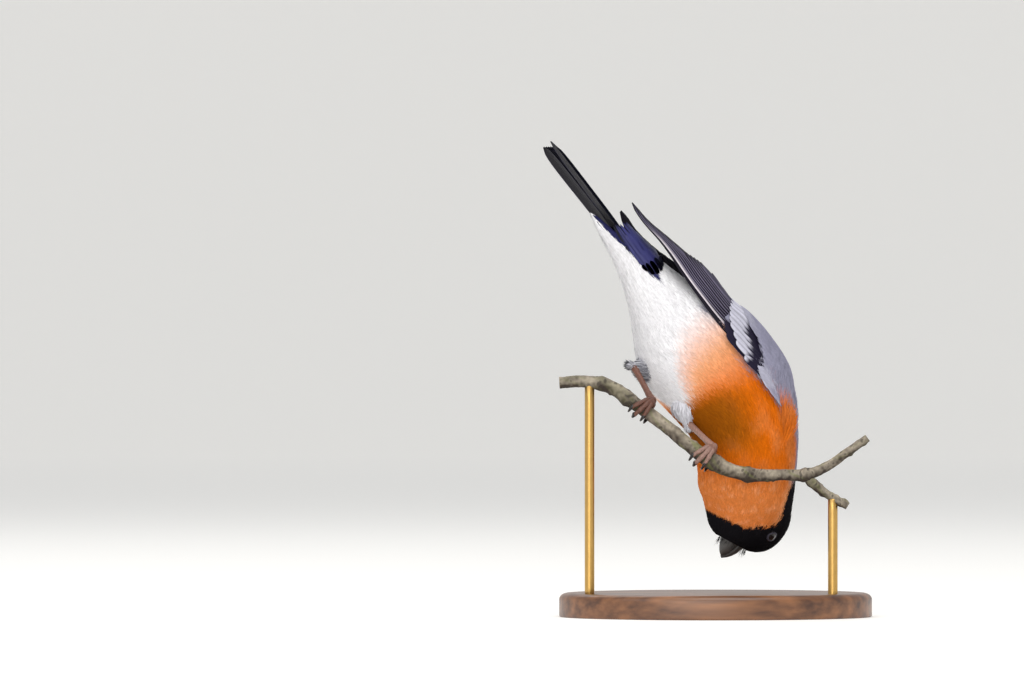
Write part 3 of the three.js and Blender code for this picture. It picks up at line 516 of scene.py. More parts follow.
def body_patch(root):
    """The place of a root on the unwrapped body, for the baking map."""
    return np.stack([(root[:, 1] / 360) % 1, root[:, 0] / FACE_END], -1)


def spine_place(share, start, end):
    """Section numbers that share out the body's area from start to end evenly."""
    s = np.linspace(start, end, 400)
    step = np.linalg.norm(np.gradient(body(s, 120), axis=0), axis=-1)
    row = smooth_through(SECTIONS, s)
    area = np.cumsum(step * (row[:, 4] + row[:, 6]))
    return np.interp(share, (area - area[0]) / (area[-1] - area[0]), s)


def eye_out(sign):
    """Centre of an eyeball and the way it looks."""
    row = SECTIONS[int(EYE_SECTION)]
    forward, up, right = frame_axes(row[2], row[3])
    centre = np.array([row[0], SPINE_Y, row[1]])
    centre = centre + EYE_PLACE["forward"] * forward + EYE_PLACE["up"] * up + EYE_PLACE["side"] * sign * right
    return centre, unit(right * sign + forward * EYE_LEAN["forward"] + up * EYE_LEAN["up"])


def clear_of_eyes(root, tip):
    """True for feathers whose middle stays outside both rims of lids."""
    middle = body(root[:, 0] * 0.5 + tip[:, 0] * 0.5, root[:, 1])
    clear = np.ones(len(root), bool)
    for sign in (-1, 1):
        centre, out = eye_out(sign)
        away = middle - centre
        beside = np.linalg.norm(away - (away @ out)[:, None] * out, axis=-1)
        clear &= (beside > EYE_CLEAR) | (away @ out < 0)
    return clear


def grow_coat(name, start, end, count, length, width, rise):
    """Feathers all round the body from section start to end."""
    spread = even_scatter(count)
    s = spine_place(spread[:, 0], start, end)
    around = spread[:, 1] * 360
    long_by = np.interp(s, *length) * draw.uniform(*LENGTH_SPREAD, count)
    section_mm = np.linalg.norm(body(s + 0.02, around) - body(s - 0.02, around), axis=-1) / 0.04
    back = long_by / np.maximum(section_mm, 1.2)
    tip_s = np.maximum(s - back, 0.0)
    root = np.stack([s, around], -1)
    tip = np.stack([tip_s, around + draw.normal(0, ASIDE_SPREAD, count)], -1)
    keep = clear_of_eyes(root, tip) & (s - tip_s > 0.4 * back)
    root, tip = root[keep], tip[keep]
    kept = len(root)
    wide = np.interp(root[:, 0], *width) * draw.uniform(*WIDTH_SPREAD, kept)
    colour = plumage(root[:, 0] * 0.45 + tip[:, 0] * 0.55, root[:, 1])
    colour = np.clip(colour * draw.normal(1, SHADE_SPREAD, kept)[:, None], 0, 1)
    depth = np.minimum(COAT_DEPTH + 0.15, 0.4 + 0.35 * root[:, 0])
    piece = coat_piece(name, body, root, tip, wide, colour, FEATHER_THICK, draw.uniform(*rise, kept), depth,
                       body_patch(root))


for name, start, end, count, length, width, rise in (
        ("coat_vent_feathers", 0.6, 5.2, 5200, FEATHER_LENGTH, FEATHER_WIDTH, LYING_LOW),
        ("coat_breast_feathers", 4.6, 9.0, 7200, FEATHER_LENGTH, FEATHER_WIDTH, LYING_LOW),
        ("coat_head_feathers", 8.6, 15.0, 8000, FEATHER_LENGTH, FEATHER_WIDTH, (-0.35, -0.15)),
        ("coat_vent_barbs", 0.6, 5.0, BARBS, BARB_LENGTH, BARB_WIDTH, (-0.2, 0.3)),
        ("coat_belly_barbs", 4.6, 6.8, BARBS, BARB_LENGTH, BARB_WIDTH, (-0.2, 0.3)),
        ("coat_breast_barbs", 6.4, 8.9, BARBS, BARB_LENGTH, BARB_WIDTH, (-0.2, 0.25)),
        ("coat_throat_barbs", 8.5, 11.2, BARBS, BARB_LENGTH, BARB_WIDTH, (-0.2, 0.15)),
        ("coat_face_barbs", 10.9, 15.0, BARBS, BARB_LENGTH, BARB_WIDTH, (-0.15, 0.2))):
    grow_coat(name, start, end, count, length, width, rise)


# The tail: twelve stiff black vanes with a shaft, overlapping like tiles. Each is a closed plate over a bed,
# as wide as its outline allows, cambered across, with a raised shaft down its middle.
TAIL_TIP = np.array([-56.1, SPINE_Y, 157.2])
TAIL_HEADING, TAIL_ROLL = 52.5, 18.0
TAIL_WEB, TAIL_FRINGE = paint(15, 14, 19), paint(30, 30, 46)
SHAFT_DARK = paint(9, 8, 10)
TAIL_PAIRS = 6
BARB_SLANT, BARB_RATE = -0.16, 420.0
VANE_COLUMNS = np.array([-1, -0.92, -0.83, -0.5, -0.07, 0, 0.07, 0.5, 0.83, 0.92, 1])
VANE_STEPS = 22
VANE_THICK, SHAFT_HIGH, SHAFT_SPREAD = 0.14, 0.07, 0.08
TAIL_ROOT, TAIL_STAGGER = 46.0, 2.2


def bed_out(bed, along, across, facing):
    """The way that the outer face of a bed looks, from small steps along and across it."""
    step = 0.004
    over = bed(along, across + step) - bed(along, across - step)
    ahead = bed(along + step, across) - bed(along - step, across)
    return unit(np.cross(over, ahead)) * facing


def straight(t):
    """A middle line that goes evenly from root to tip."""
    return t


def lay_vanes(bed, facing, root, tip, half, lift, outline, path=straight, camber=0.1, sink=0.0, tilt=0.0):
    """Vanes from root to tip, both as (along, across) rows. The middle line goes across by path(share), the
    edges stand off it by outline(share) of the half width, and the height is lift + camber (1 - w^2) - tilt w
    + a ridge at the shaft, less sink (1 - share)^2.5 towards the root."""
    count = len(root)
    share = np.linspace(0, 1, VANE_STEPS)
    along = root[:, None, 0] + (tip - root)[:, None, 0] * share
    middle = root[:, None, 1] + (tip - root)[:, None, 1] * path(share)
    probe = 0.01
    span = np.linalg.norm(bed(along, middle + probe) - bed(along, middle - probe), axis=-1) / (2 * probe)
    reach = half[:, None] * outline(share) / np.maximum(span, 0.5)
    w = VANE_COLUMNS
    across = middle[..., None] + reach[..., None] * w
    along_grid = np.broadcast_to(along[..., None], across.shape)
    place, out = bed(along_grid, across), bed_out(bed, along_grid, across, facing)
    ridge = SHAFT_HIGH * np.exp(-((w / SHAFT_SPREAD) ** 2)) * (1 - 0.7 * share[:, None])
    height = lift[:, None, None] + camber * (1 - w**2) - tilt * w + ridge - sink * (1 - share[:, None]) ** 2.5
    body_thick = VANE_THICK * (1 - 0.55 * np.abs(w) ** 2) * (1 - 0.5 * share[:, None])
    top = place + out * (height + body_thick)[..., None]
    bottom = place + out * (height - 0.25 * ridge)[..., None]
    points = np.stack([top, bottom], 1).reshape(-1, 3)
    return points, plate_faces(VANE_STEPS, len(w), count, points)


def plate_faces(rows, columns, count, points):
    """Faces of count closed plates, each the points of its top grid and then of its bottom grid."""
    i, j = grid(np.arange(rows - 1), np.arange(columns - 1))
    a = (i * columns + j).ravel()
    under = rows * columns
    top = np.stack([a, a + 1, a + 1 + columns, a + columns], -1)
    bottom = top[:, ::-1] + under
    i, j = np.arange(rows - 1) * columns, np.arange(columns - 1)
    last = (rows - 1) * columns
    left = np.stack([i, i + columns, i + columns + under, i + under], -1)
    right = np.stack([i, i + under, i + columns + under, i + columns], -1) + columns - 1
    near = np.stack([j, j + under, j + 1 + under, j + 1], -1)
    far = np.stack([j, j + 1, j + 1 + under, j + under], -1) + last
    quads = np.concatenate([top, bottom, left, right, near, far])
    return copies(outward(points[:2 * under], [quads]), 2 * under, count)


def pointed(t):
    """The outline of a long feather that is broadest near its root."""
    return np.minimum(0.72 + 0.6 * t, 1) * np.sqrt(np.maximum(0.004, 1 - (np.abs(t - 0.35) / 0.655) ** 6))


def sweeping(t):
    """A middle line that crosses the bed late, as the outer primaries do."""
    return ramp(t, 0.48, 1.0)


def rounded(t):
    """The outline of a feather with a round tip."""
    return np.minimum(0.6 + t, 1) * np.sqrt(np.maximum(0.006, 1 - (np.abs(t - 0.5) / 0.502) ** 6))


def joined(shapes):
    """The points of several shapes, and their faces by number of corners."""
    points, blocks, start = [], {3: [], 4: []}, 0
    for shape_points, faces in shapes:
        points.append(shape_points)
        for block in faces:
            blocks[block.shape[1]].append(block + start)
        start += len(shape_points)
    return np.concatenate(points), [np.concatenate(alike) for alike in blocks.values() if alike]


def vane_piece(name, batches, material, soft=None):
    """Joins batches of (points, faces, colours) to one piece, with a map along each vane and a baking map
    that gives each vane a strip of its own. Normals come from soft(points) where the vanes lie sleek."""
    points, faces = joined([batch[:2] for batch in batches])
    piece = mesh_piece(name, points, faces, material)
    if soft is not None:
        piece.data.normals_split_custom_set_from_vertices(soft(points).astype(np.float32))
    wear_colours(piece, np.clip(np.concatenate([batch[2] for batch in batches]), 0, 1))
    sheets = len(points) // (VANE_STEPS * len(VANE_COLUMNS))
    share, w = grid(np.linspace(0, 1, VANE_STEPS), VANE_COLUMNS * 0.5 + 0.5)
    one = np.stack([w, share], -1).reshape(-1, 2)
    lay_out(piece, "vane", np.tile(one, (sheets, 1)))
    across = int(np.ceil(np.sqrt(sheets * 3)))
    down = int(np.ceil(sheets / across))
    cell = np.stack([np.arange(sheets) % across, np.arange(sheets) // across], -1)[:, None, :]
    lay_out(piece, "OFBake", ((cell + 0.04 + 0.92 * one) / [across, down]).reshape(-1, 2))
    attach(piece, "root")
    return piece


def vane_colours(count, web, fringe, shaft, outer_only=True, tip_colour=None, tip_from=None):
    """Colours for count vanes on both faces: a web that varies a little, a darker shaft, and a narrow fringe
    at the outer edge or at both. From the share tip_from of its length on, a vane may have a tip of another
    colour."""
    share, w = grid(np.linspace(0, 1, VANE_STEPS), VANE_COLUMNS)
    edge = -w if outer_only else np.abs(w)
    colour = np.broadcast_to(web, (count,) + share.shape + (3,))
    if tip_colour is not None:
        ragged = share + 0.03 * np.sin(w * 19)
        from_share = np.reshape(tip_from, (-1, 1, 1))
        colour = blend(colour, tip_colour, ramp(ragged[None] - from_share, -0.06, 0.06))
    colour = blend(colour, fringe, ramp(edge, 0.82, 0.92)[None] * ramp(share, 0, 0.2)[None])
    colour = blend(colour, shaft, 0.7 * np.exp(-((w / 0.06) ** 2))[None])
    shade = draw.normal(1, 0.08, count)[:, None, None, None]
    return np.repeat((colour * shade)[:, None], 2, axis=1).reshape(-1, 3)


def barbed_material(name, roughness, coat, tint):
    """Vane finish: stored colours, fine slanting barbs from the vane's own map as bump, and a light gloss."""
    material, shader = attribute_material(name, roughness, 1200.0, 0.3, 0.15, shine=0.15)
    tree = material.node_tree
    place = add_node(tree, "UVMap", {}, uv_map="vane")
    split = add_node(tree, "SeparateXYZ", {0: place.outputs["UV"]})
    from_shaft = maths(tree, "ABSOLUTE", maths(tree, "SUBTRACT", split.outputs["X"], 0.5))
    slant = maths(tree, "MULTIPLY_ADD", from_shaft, BARB_SLANT, split.outputs["Y"])
    barb = maths(tree, "SINE", maths(tree, "MULTIPLY", slant, BARB_RATE))
    raised = add_node(tree, "Bump", {"Height": barb, "Normal": shader.inputs["Normal"].links[0].from_socket,
                                     "Strength": 0.25, "Distance": 0.0001})
    feed(tree, shader, {"Normal": raised.outputs["Normal"], "Coat Weight": coat, "Coat Roughness": 0.35,
                        "Specular Tint": (*tint, 1.0)})
    return material


flight_material = barbed_material("flight_feather", 0.55, 0.05, (0.8, 0.75, 1.0))


def tail_bed(along, across):
    """A sheet behind the bird that arches down to both edges, along it measured forwards from the tail's
    tip."""
    forward, up, right = frame_axes(TAIL_HEADING, TAIL_ROLL)
    along, across = along[..., None], across[..., None]
    return TAIL_TIP + forward * along - up * (across / 8) ** 2 + right * across


tail_sides = np.tile([-1.0, 1.0], TAIL_PAIRS)
tail_pair = np.repeat(np.arange(TAIL_PAIRS), 2)
tail_offset = tail_sides * (tail_pair + 0.5)
tail_root = np.stack([np.full(2 * TAIL_PAIRS, TAIL_ROOT), tail_offset * 0.5], -1)
tail_tip = np.stack([TAIL_STAGGER * (1 - tail_pair / (TAIL_PAIRS - 1)), tail_offset * 0.8], -1)
tail_shape = lay_vanes(tail_bed, 1, tail_root, tail_tip, 4.1 - 0.15 * tail_pair,
                       1.75 - 0.28 * tail_pair + 0.1 * (tail_sides > 0), rounded, camber=0.2)
tail_colours = vane_colours(2 * TAIL_PAIRS, TAIL_WEB, TAIL_FRINGE, SHAFT_DARK, outer_only=False)
tail = vane_piece("tail_feathers", [(*tail_shape, tail_colours)], flight_material)
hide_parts("tail")


# The tail coverts: rows of short glossy vanes, blue-violet at the sides, that lie over the tail's root like a
# hood and run in under the white feathers of the rump.
gloss_material = barbed_material("gloss_covert", 0.4, 0.25, (0.6, 0.62, 1.0))
COVERT_VIOLET, COVERT_DARK = paint(52, 53, 102), paint(13, 12, 18)
HOOD_SIDE = 146.0
HOOD_BACK, HOOD_LONG = 35.0, 23.0
TUCK_FROM, TUCK_TO, TUCK_SHARE = 50, 60, 0.2
# half height and half width of the smooth oval that the hood is shaded as
OVAL_HIGH, OVAL_WIDE = 5.0, 8.6
COVERT_ROWS, COVERT_STEP, COVERT_HALF, COVERT_SINK = 5, 3.9, 3.2, 1.8
# how far forward the glossy feathers show, by degrees round from the top
HOOD_AROUND = [0, 38, 53, 69, 85, 96, 108, 131, 140, 150]
HOOD_FRONT = [48.0, 50.0, 53.0, 56.2, 58.2, 57.8, 55.4, 48.6, 44.0, 40.0]


def hood_size(share, above):
    """The hood's half height, above or below its middle, and half width at a share of its length."""
    return np.where(above, 3.9 + 4.1 * share, 0.8 + 3.8 * share), 8.2 + 1.2 * share


def covert_bed(along, across):
    """A hood over the tail's root: across is degrees round it from the top. It widens forwards, and draws in
    again at the front to go under the coat."""
    share = np.clip((along - HOOD_BACK) / HOOD_LONG, -0.2, 1.3)
    tuck = 1 - TUCK_SHARE * ramp(along, TUCK_FROM, TUCK_TO) ** 2
    forward, up, right = frame_axes(TAIL_HEADING, TAIL_ROLL)
    angle = np.radians(across)
    high, wide = hood_size(share, np.cos(angle) > 0)
    high = high * np.cos(angle) * tuck
    wide = wide * np.sin(angle) * tuck
    return TAIL_TIP + forward * along[..., None] + up * high[..., None] + right * wide[..., None]


def covert_violet(points):
    """How violet a point of the hood is: fully on both sides; not on the ridge, where the dark is painted
    shade, nor at the lower edge.
    """
    forward, up, right = frame_axes(TAIL_HEADING, TAIL_ROLL)
    away = points - TAIL_TIP
    ahead = away @ forward
    share = np.clip((ahead - HOOD_BACK) / HOOD_LONG, 0, 1)
    beside, over = np.abs(away @ right), away @ up
    high, wide = hood_size(share, over > 0)
    down = np.degrees(np.arctan2(beside / wide, over / high))
    return ramp(down, 20, 34) * (1 - ramp(down, HOOD_SIDE - 14, HOOD_SIDE - 4)) * ramp(ahead, 34, 37.5)


def hood_normals(points):
    """The way out of the tail's root at each point, as on a smooth oval."""
    _, up, right = frame_axes(TAIL_HEADING, TAIL_ROLL)
    away = points - TAIL_TIP
    return unit((away @ up)[:, None] * up / OVAL_HIGH**2 + (away @ right)[:, None] * right / OVAL_WIDE**2)


def covert_rows():
    """Rows of glossy coverts, each nearer to the rump than the one it lies over, rooted under the rump's
    white feathers along a line that is furthest forward at the sides."""
    batches = []
    for row in range(COVERT_ROWS):
        across = np.linspace(-HOOD_SIDE, HOOD_SIDE, 18 - (row % 2)) * (1 - 0.02 * row)
        count = len(across)
        root = np.stack([np.interp(np.abs(across), HOOD_AROUND, HOOD_FRONT) + 2.2 + 0.3 * row, across], -1)
        end = np.interp(np.abs(across), [0, 60, HOOD_SIDE], [2.5, 1.5, 0.0])
        tip_along = HOOD_BACK + COVERT_STEP * row + end + draw.normal(0, 0.3, count)
        tip = np.stack([tip_along, across * (0.9 + 0.02 * row)], -1)
        lift = 0.35 + 0.09 * row + 0.04 * (np.arange(count) % 2)
        shape = lay_vanes(covert_bed, 1, root, tip, np.full(count, COVERT_HALF), lift, rounded, camber=0.06,
                          sink=COVERT_SINK)
        violet = covert_violet(shape[0])
        shade = np.repeat(draw.normal(1, 0.06, count), len(violet) // count)[:, None]
        batches.append((*shape, blend(COVERT_DARK, COVERT_VIOLET, violet) * shade))
    return batches


tail_coverts = vane_piece("tail_covert_feathers", covert_rows(), gloss_material, hood_normals)
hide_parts("tail_coverts")


# Folded wings: primaries underneath, then secondaries, tertials and greater coverts, all rooted in an arm
# that small grey coverts hide. The bed runs from the wrist at 0 to the tip at 1.
WING_ROLL = 25.0
WRIST_COLOUR_AT = 7.6
WING_ON_BODY = [
    # section number, then degrees round the body and lift off it for the low edge, middle and high edge
    (7.65, (80, 52, 26), (0.7, 0.1, 0.2)),
    (7.05, (89, 54, 17), (0.9, 0.3, 0.2)),
    (6.4, (93, 52, 12), (1.0, 0.5, 0.3)),
    (5.75, (92, 48, 9), (1.3, 0.8, 0.7)),
    (5.0, (86, 42, 7), (1.7, 1.3, 1.3)),
]
WING_FREE = [
    # distance from the tail's tip, low edge as right and up, high edge of the right and left wing, bulge
    (68.0, (16.8, 3.4), (3.0, 16.6), (3.0, 14.8), 2.8),
    (58.5, (14.7, 5.3), (3.6, 15.0), (4.0, 13.7), 2.2),
    (49.5, (12.3, 6.1), (5.0, 13.1), (6.0, 11.4), 1.2),
    (41.0, (10.0, 6.2), (6.0, 11.0), (6.5, 9.9), 0.6),
    (32.6, (7.8, 7.7), (7.4, 9.9), (6.8, 10.4), 0.2),
]
# how far along and across the wing each primary ends, and how much further across on the left wing
PRIMARY_TIPS = np.array([
    (1.0, 0.46), (0.985, 0.52), (0.955, 0.54), (0.915, 0.55), (0.87, 0.54), (0.82, 0.51), (0.77, 0.48),
    (0.73, 0.45), (0.695, 0.43),
])
LEFT_LEAN = 0.45
SECONDARIES, TERTIALS, PRIMARY_COVERTS = 6, 3, 3
GREATER_COVERTS = np.array([-0.05, 0.0, 0.05, 0.1, 0.155, 0.215, 0.285, 0.37, 0.47, 0.58, 0.7, 0.84])
WING_WEB, WING_FRINGE = paint(22, 18, 27), paint(112, 106, 128)
# the second primary's pale edge: partly a pale fringe, partly painted sheen
PALE_FRINGE_AND_SHEEN = paint(208, 201, 208)
TERTIAL_WEB = paint(58, 52, 72)
COVERT_BLACK = paint(27, 23, 42)
COVERT_TIP = paint(196, 195, 209)
# along the wing, by place across it: tips of the greater coverts, where their white begins, and where the
# grey scapulars and lesser coverts end
ACROSS_MARKS = [-0.1, -0.06, -0.02, 0.03, 0.08, 0.11, 0.16, 0.22, 0.28, 0.33, 0.55, 0.9, 1.1]
COVERT_TIPS = [0.15, 0.19, 0.26, 0.29, 0.335, 0.358, 0.385, 0.405, 0.427, 0.435, 0.456, 0.44, 0.42]
WHITE_FROM = [0.16, 0.187, 0.2, 0.215, 0.237, 0.25, 0.284, 0.295, 0.3, 0.29, 0.2, 0.2, 0.2]
GREY_TO = [0.13, 0.14, 0.145, 0.15, 0.155, 0.16, 0.175, 0.2, 0.25, 0.3, 0.375, 0.405, 0.41]
LOOSE_FEATHERS = [
    # name, count, section numbers, degrees beyond the wing's edge, width, rise, own colour, lean, reach
    ("flank_feathers", 1100, (5.2, 7.9), (-5, 3), 0.6, (0.0, 0.7), None, 4, 1.0),
    ("front_feathers", 700, (7.6, 8.15), (-62, 4), 0.7, (0.4, 1.0), None, 4, 1.0),
    ("breast_feathers", 1600, (7.3, 8.4), (-1, 8), 0.6, (1.2, 2.7), None, 13, 1.0),
    ("pale_flank", 220, (6.95, 7.5), (-5, 7), 0.35, (1.2, 2.1), COVERT_TIP, 4, 0.8),
]


def wing_bed(sign):
    """The bed of one wing: three lines of points along it, joined across by a parabola through all three."""
    rows = [[body(at, sign * angle, lift) for angle, lift in zip(angles, lifts)]
            for at, angles, lifts in WING_ON_BODY]
    forward, up, right = frame_axes(TAIL_HEADING, WING_ROLL)
    for ahead, low, high_right, high_left, bulge in WING_FREE:
        high = high_right if sign > 0 else high_left
        low_edge = TAIL_TIP + forward * ahead + up * low[1] + right * sign * low[0]
        high_edge = TAIL_TIP + forward * ahead + up * high[1] + right * sign * high[0]
        out = np.cross(forward, unit(high_edge - low_edge)) * sign
        rows.append([low_edge, (low_edge + high_edge) / 2 + out * bulge, high_edge])
    rows = np.array(rows)

    def bed(along, across):
        low, middle, high = np.moveaxis(smooth_through(rows, along * (len(rows) - 1)), -2, 0)
        across = across[..., None]
        return (low * (1 - across) * (1 - 2 * across) + middle * 4 * across * (1 - across)
                + high * across * (2 * across - 1))
    return bed


def wing_tiers(bed, sign):
    """The vanes of one wing, from the outermost primary up to the greater coverts. The left wing lies higher
    over the tail than the right one."""
    lean = 0.0 if sign > 0 else LEFT_LEAN
    batches = []

    def tier(root, tip, half, lift, outline, colours, **shape):
        """Lays one row of vanes from the places of their roots and tips along and across the wing."""
        plates = lay_vanes(bed, sign, np.stack(root, -1), np.stack(tip, -1), half, lift, outline, **shape)
        batches.append((*plates, colours))

    i = np.arange(len(PRIMARY_TIPS))
    root = [np.full(len(i), 0.3), np.interp(i, [0, 1, 8], [0.05, 0.115, 0.43])]
    colours = vane_colours(len(i), WING_WEB, WING_FRINGE, SHAFT_DARK).reshape(len(i), 2, VANE_STEPS, -1, 3)
    # the outer edge of the second primary is painted pale for most of its length: partly a fringe, partly
    # painted sheen
    pale = (1 - ramp(np.linspace(0, 1, VANE_STEPS), 0.66, 0.86))[:, None] * np.array([1.0, 1.0, 0.8])
    colours[1, :, :, :3] = blend(colours[1, :, :, :3], PALE_FRINGE_AND_SHEEN, pale)
    colours[0, :, :, :3] = WING_WEB
    tier(root, [PRIMARY_TIPS[:, 0], PRIMARY_TIPS[:, 1] + lean], np.where(i < 2, 2.4, 2.1 + 0.07 * i),
         -0.9 + 0.11 * i, pointed, colours.reshape(-1, 3), path=sweeping, tilt=0.2)
    i = np.arange(SECONDARIES)
    tier([np.full(len(i), 0.26), 0.22 + 0.05 * i], [0.7 - 0.016 * i, 0.38 + 0.05 * i + lean * 0.8],
         np.full(len(i), 2.4), 0.1 + 0.1 * i, rounded,
         vane_colours(len(i), WING_WEB, WING_FRINGE, SHAFT_DARK), tilt=0.2)
    i = np.arange(TERTIALS)
    tier([np.full(len(i), 0.24), 0.58 + 0.13 * i], [0.61 - 0.05 * i, 0.61 + 0.12 * i],
         np.full(len(i), 3.8), 0.6 + 0.13 * i, rounded,
         vane_colours(len(i), TERTIAL_WEB, WING_FRINGE, SHAFT_DARK), camber=0.15, tilt=0.2)
    i = np.arange(PRIMARY_COVERTS)
    tier([0.16 + 0.02 * i, -0.03 + 0.03 * i], [0.32 + 0.03 * i, -0.02 + 0.04 * i],
         np.full(len(i), 1.4), 0.3 + 0.1 * i, pointed,
         vane_colours(len(i), COVERT_BLACK, COVERT_BLACK, SHAFT_DARK))
    across = GREATER_COVERTS
    tip_at = np.interp(across, ACROSS_MARKS, COVERT_TIPS)
    length = np.minimum(0.22, tip_at - 0.07)
    white_from = 1 - (tip_at - np.interp(across, ACROSS_MARKS, WHITE_FROM)) / length
    tips = vane_colours(len(across), COVERT_BLACK, COVERT_BLACK, COVERT_BLACK, tip_colour=COVERT_TIP,
                        tip_from=white_from)
    tier([tip_at - length, across + 0.02], [tip_at, across], np.full(len(across), 1.9),
         0.8 + 0.035 * np.arange(len(across)), rounded, tips, sink=1.2)
    return batches


def arm_shape(bed, sign):
    """The flesh of the arm between the body and the small coverts, one plate that thins towards the tip."""
    columns = 11
    along, across = grid(np.linspace(0.02, 0.4, VANE_STEPS), np.linspace(0.12, 0.96, columns))
    out = bed_out(bed, along, across, sign)
    fade = (1 - ramp(along, 0.2, 0.4))[..., None]
    place = bed(along, across)
    top = place + out * (0.2 + 0.25 * fade - 0.9 * ramp(along, 0.12, 0.02)[..., None])
    bottom = place - out * (0.5 + 2.0 * fade)
    points = np.stack([top, bottom]).reshape(-1, 3)
    return points, plate_faces(VANE_STEPS, columns, 1, points)


def small_coverts(name, bed, sign, count, width, length, rise):
    """Grey scapulars and lesser coverts over the arm, paler at the slanting line where they end."""
    spread = even_scatter(count * 2)
    along, across = spread[:, 0] * 0.44, -0.1 + 1.14 * spread[:, 1]
    edge = np.interp(across, ACROSS_MARKS, GREY_TO) + draw.normal(0, 0.008, count * 2)
    keep = along < edge - 0.025
    along, across, edge = along[keep][:count], across[keep][:count], edge[keep][:count]
    kept = len(along)

    def surface(u, v, lift):
        u = np.clip(u, 0.004, 0.99)
        return bed(u, v) + bed_out(bed, u, v, sign) * (lift + 1.35 * ramp(u, -0.06, 0.15))[..., None]

    root = np.stack([along, across], -1)
    reach = np.minimum(along + draw.uniform(0.7, 1.2, kept) * length, edge)
    tip = np.stack([reach, across + draw.normal(-0.01, 0.01, kept)], -1)
    pale = 0.6 * ramp(edge - reach, 0.06, 0.0) * ramp(across, 0.25, 0.45) + 0.5 * ramp(across, 0.1, -0.02)
    colour = blend(GREY, COVERT_TIP, pale * draw.uniform(0.6, 1.2, kept))
    colour = colour * draw.normal(1, 0.05, kept)[:, None]
    front = ramp(along + 0.12 * across + draw.normal(0, 0.01, kept), 0.03, 0.0)
    wrist_around = WING_ON_BODY[0][1]
    body_around = np.interp(across, [0, 1], wrist_around[::2])
    colour = blend(colour, plumage(np.full(kept, WRIST_COLOUR_AT), body_around), front)
    piece = coat_piece(name, surface, root, tip, draw.uniform(0.6, 1.2, kept) * width, colour, FINE_THICK,
                       draw.uniform(*rise, kept), np.full(kept, 0.5), root * 0.5)


def loose_feathers(name, sign, count, sections, beyond, width, rise, colour, lean, reach):
    """Loose feathers of the body that lie over the wing's low edge, rooted at section numbers and at degrees
    beyond that edge, and leaning up to so many degrees towards the back."""
    spread = even_scatter(count)
    at = sections[0] + (sections[1] - sections[0]) * spread[:, 0]
    edge = np.interp(at, [row[0] for row in WING_ON_BODY[::-1]], [row[1][0] for row in WING_ON_BODY[::-1]])
    root = np.stack([at, sign * (edge + beyond[0] + (beyond[1] - beyond[0]) * spread[:, 1])], -1)
    tip = root - np.stack([draw.uniform(0.28, 0.5, count) * reach, sign * draw.uniform(0, lean, count)], -1)
    if colour is None:
        tint = plumage(root[:, 0] * 0.4 + tip[:, 0] * 0.6, root[:, 1])
    else:
        tint = blend(np.broadcast_to(GREY, (count, 3)), colour, draw.uniform(0.1, 1.0, count))
    piece = coat_piece(name, body, root, tip, draw.uniform(0.6, 1.2, count) * width,
                       tint * draw.normal(1, 0.06, count)[:, None], FINE_THICK, draw.uniform(*rise, count),
                       np.full(count, 0.6), body_patch(root))


for side, sign in (("right", 1), ("left", -1)):
    bed = wing_bed(sign)
    arm_points, arm_faces = arm_shape(bed, sign)
    arm = mesh_piece(f"wing_{side}_arm", arm_points, arm_faces, down_material)
    wear_colours(arm, np.broadcast_to(GREY * 0.8, (len(arm_points), 3)))
    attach(arm, "root")
    feathers = vane_piece(f"wing_{side}_feathers", wing_tiers(bed, sign), flight_material)
    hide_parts(f"wing_{side}")
    small_coverts(f"wing_{side}_scapulars", bed, sign, 900, 2.2, 0.07, (-0.25, -0.1))
    small_coverts(f"wing_{side}_scapular_barbs", bed, sign, 5000, 0.3, 0.055, (-0.15, 0.1))
    for name, *sizes in LOOSE_FEATHERS:
        loose_feathers(f"wing_{side}_{name}", sign, *sizes)


# The eyes: dark glossy balls, each in a narrow rim of bare lid that the face feathers run up to.
EYE_RADIUS, LID_RADIUS, LID_THICK = 3.2, 1.75, 0.3
EYE_RINGS, EYE_SIDES, EYE_FULLER = 28, 40, 0.03
LID_STEPS, LID_SIDES = 72, 12
eye_material, eye_shader = new_material("eye_wet", paint(9, 8, 12), 0.06)
eye_shader.inputs["Coat Weight"].default_value = 0.35
eye_shader.inputs["Specular IOR Level"].default_value = 0.3
eye_shader.inputs["Coat Roughness"].default_value = 0.02
lid_material, _ = new_material("lid_skin", paint(52, 50, 64), 0.6)


def round_axes(out):
    """Two directions square to out and to each other."""
    first = unit(np.cross(out, [0.0, 0.0, 1.0]))
    return first, np.cross(out, first)


def ball_shape(centre, out, radius):
    """A ball as rings about the way it looks, with a slightly fuller front."""
    first, second = round_axes(out)
    polar, turn = grid(np.linspace(0.05, np.pi - 0.05, EYE_RINGS), full_turn(EYE_SIDES))
    size = radius * (1 + EYE_FULLER * np.clip(np.cos(polar), 0, 1) ** 6)
    rings = (centre + out * (size * np.cos(polar))[..., None]
             + first * (size * np.sin(polar) * np.cos(turn))[..., None]
             + second * (size * np.sin(polar) * np.sin(turn))[..., None])
    return tube(rings, centre + out * radius * (1 + EYE_FULLER), centre - out * radius)


def lid_shape(centre, out):
    """A ring lying on the ball, thick where lids meet the feathers, with fine folds around it."""
    first, second = round_axes(out)
    turn, section = grid(full_turn(LID_STEPS), full_turn(LID_SIDES))
    away = LID_RADIUS * (1 + 0.12 * np.cos(2 * turn + 0.6)) + LID_THICK * np.cos(section) * (
        1 + 0.12 * np.sin(turn * 18))
    rise = np.sqrt(EYE_RADIUS**2 - np.minimum(away, 2.6) ** 2) + 0.75 * LID_THICK * np.sin(section)
    points = (centre + out * rise[..., None] + first * (away * np.cos(turn))[..., None]
              + second * (away * np.sin(turn))[..., None]).reshape(-1, 3)
    quads = ring_quads(LID_STEPS + 1, LID_SIDES) % (LID_STEPS * LID_SIDES)
    return points, outward(points - centre, [quads])


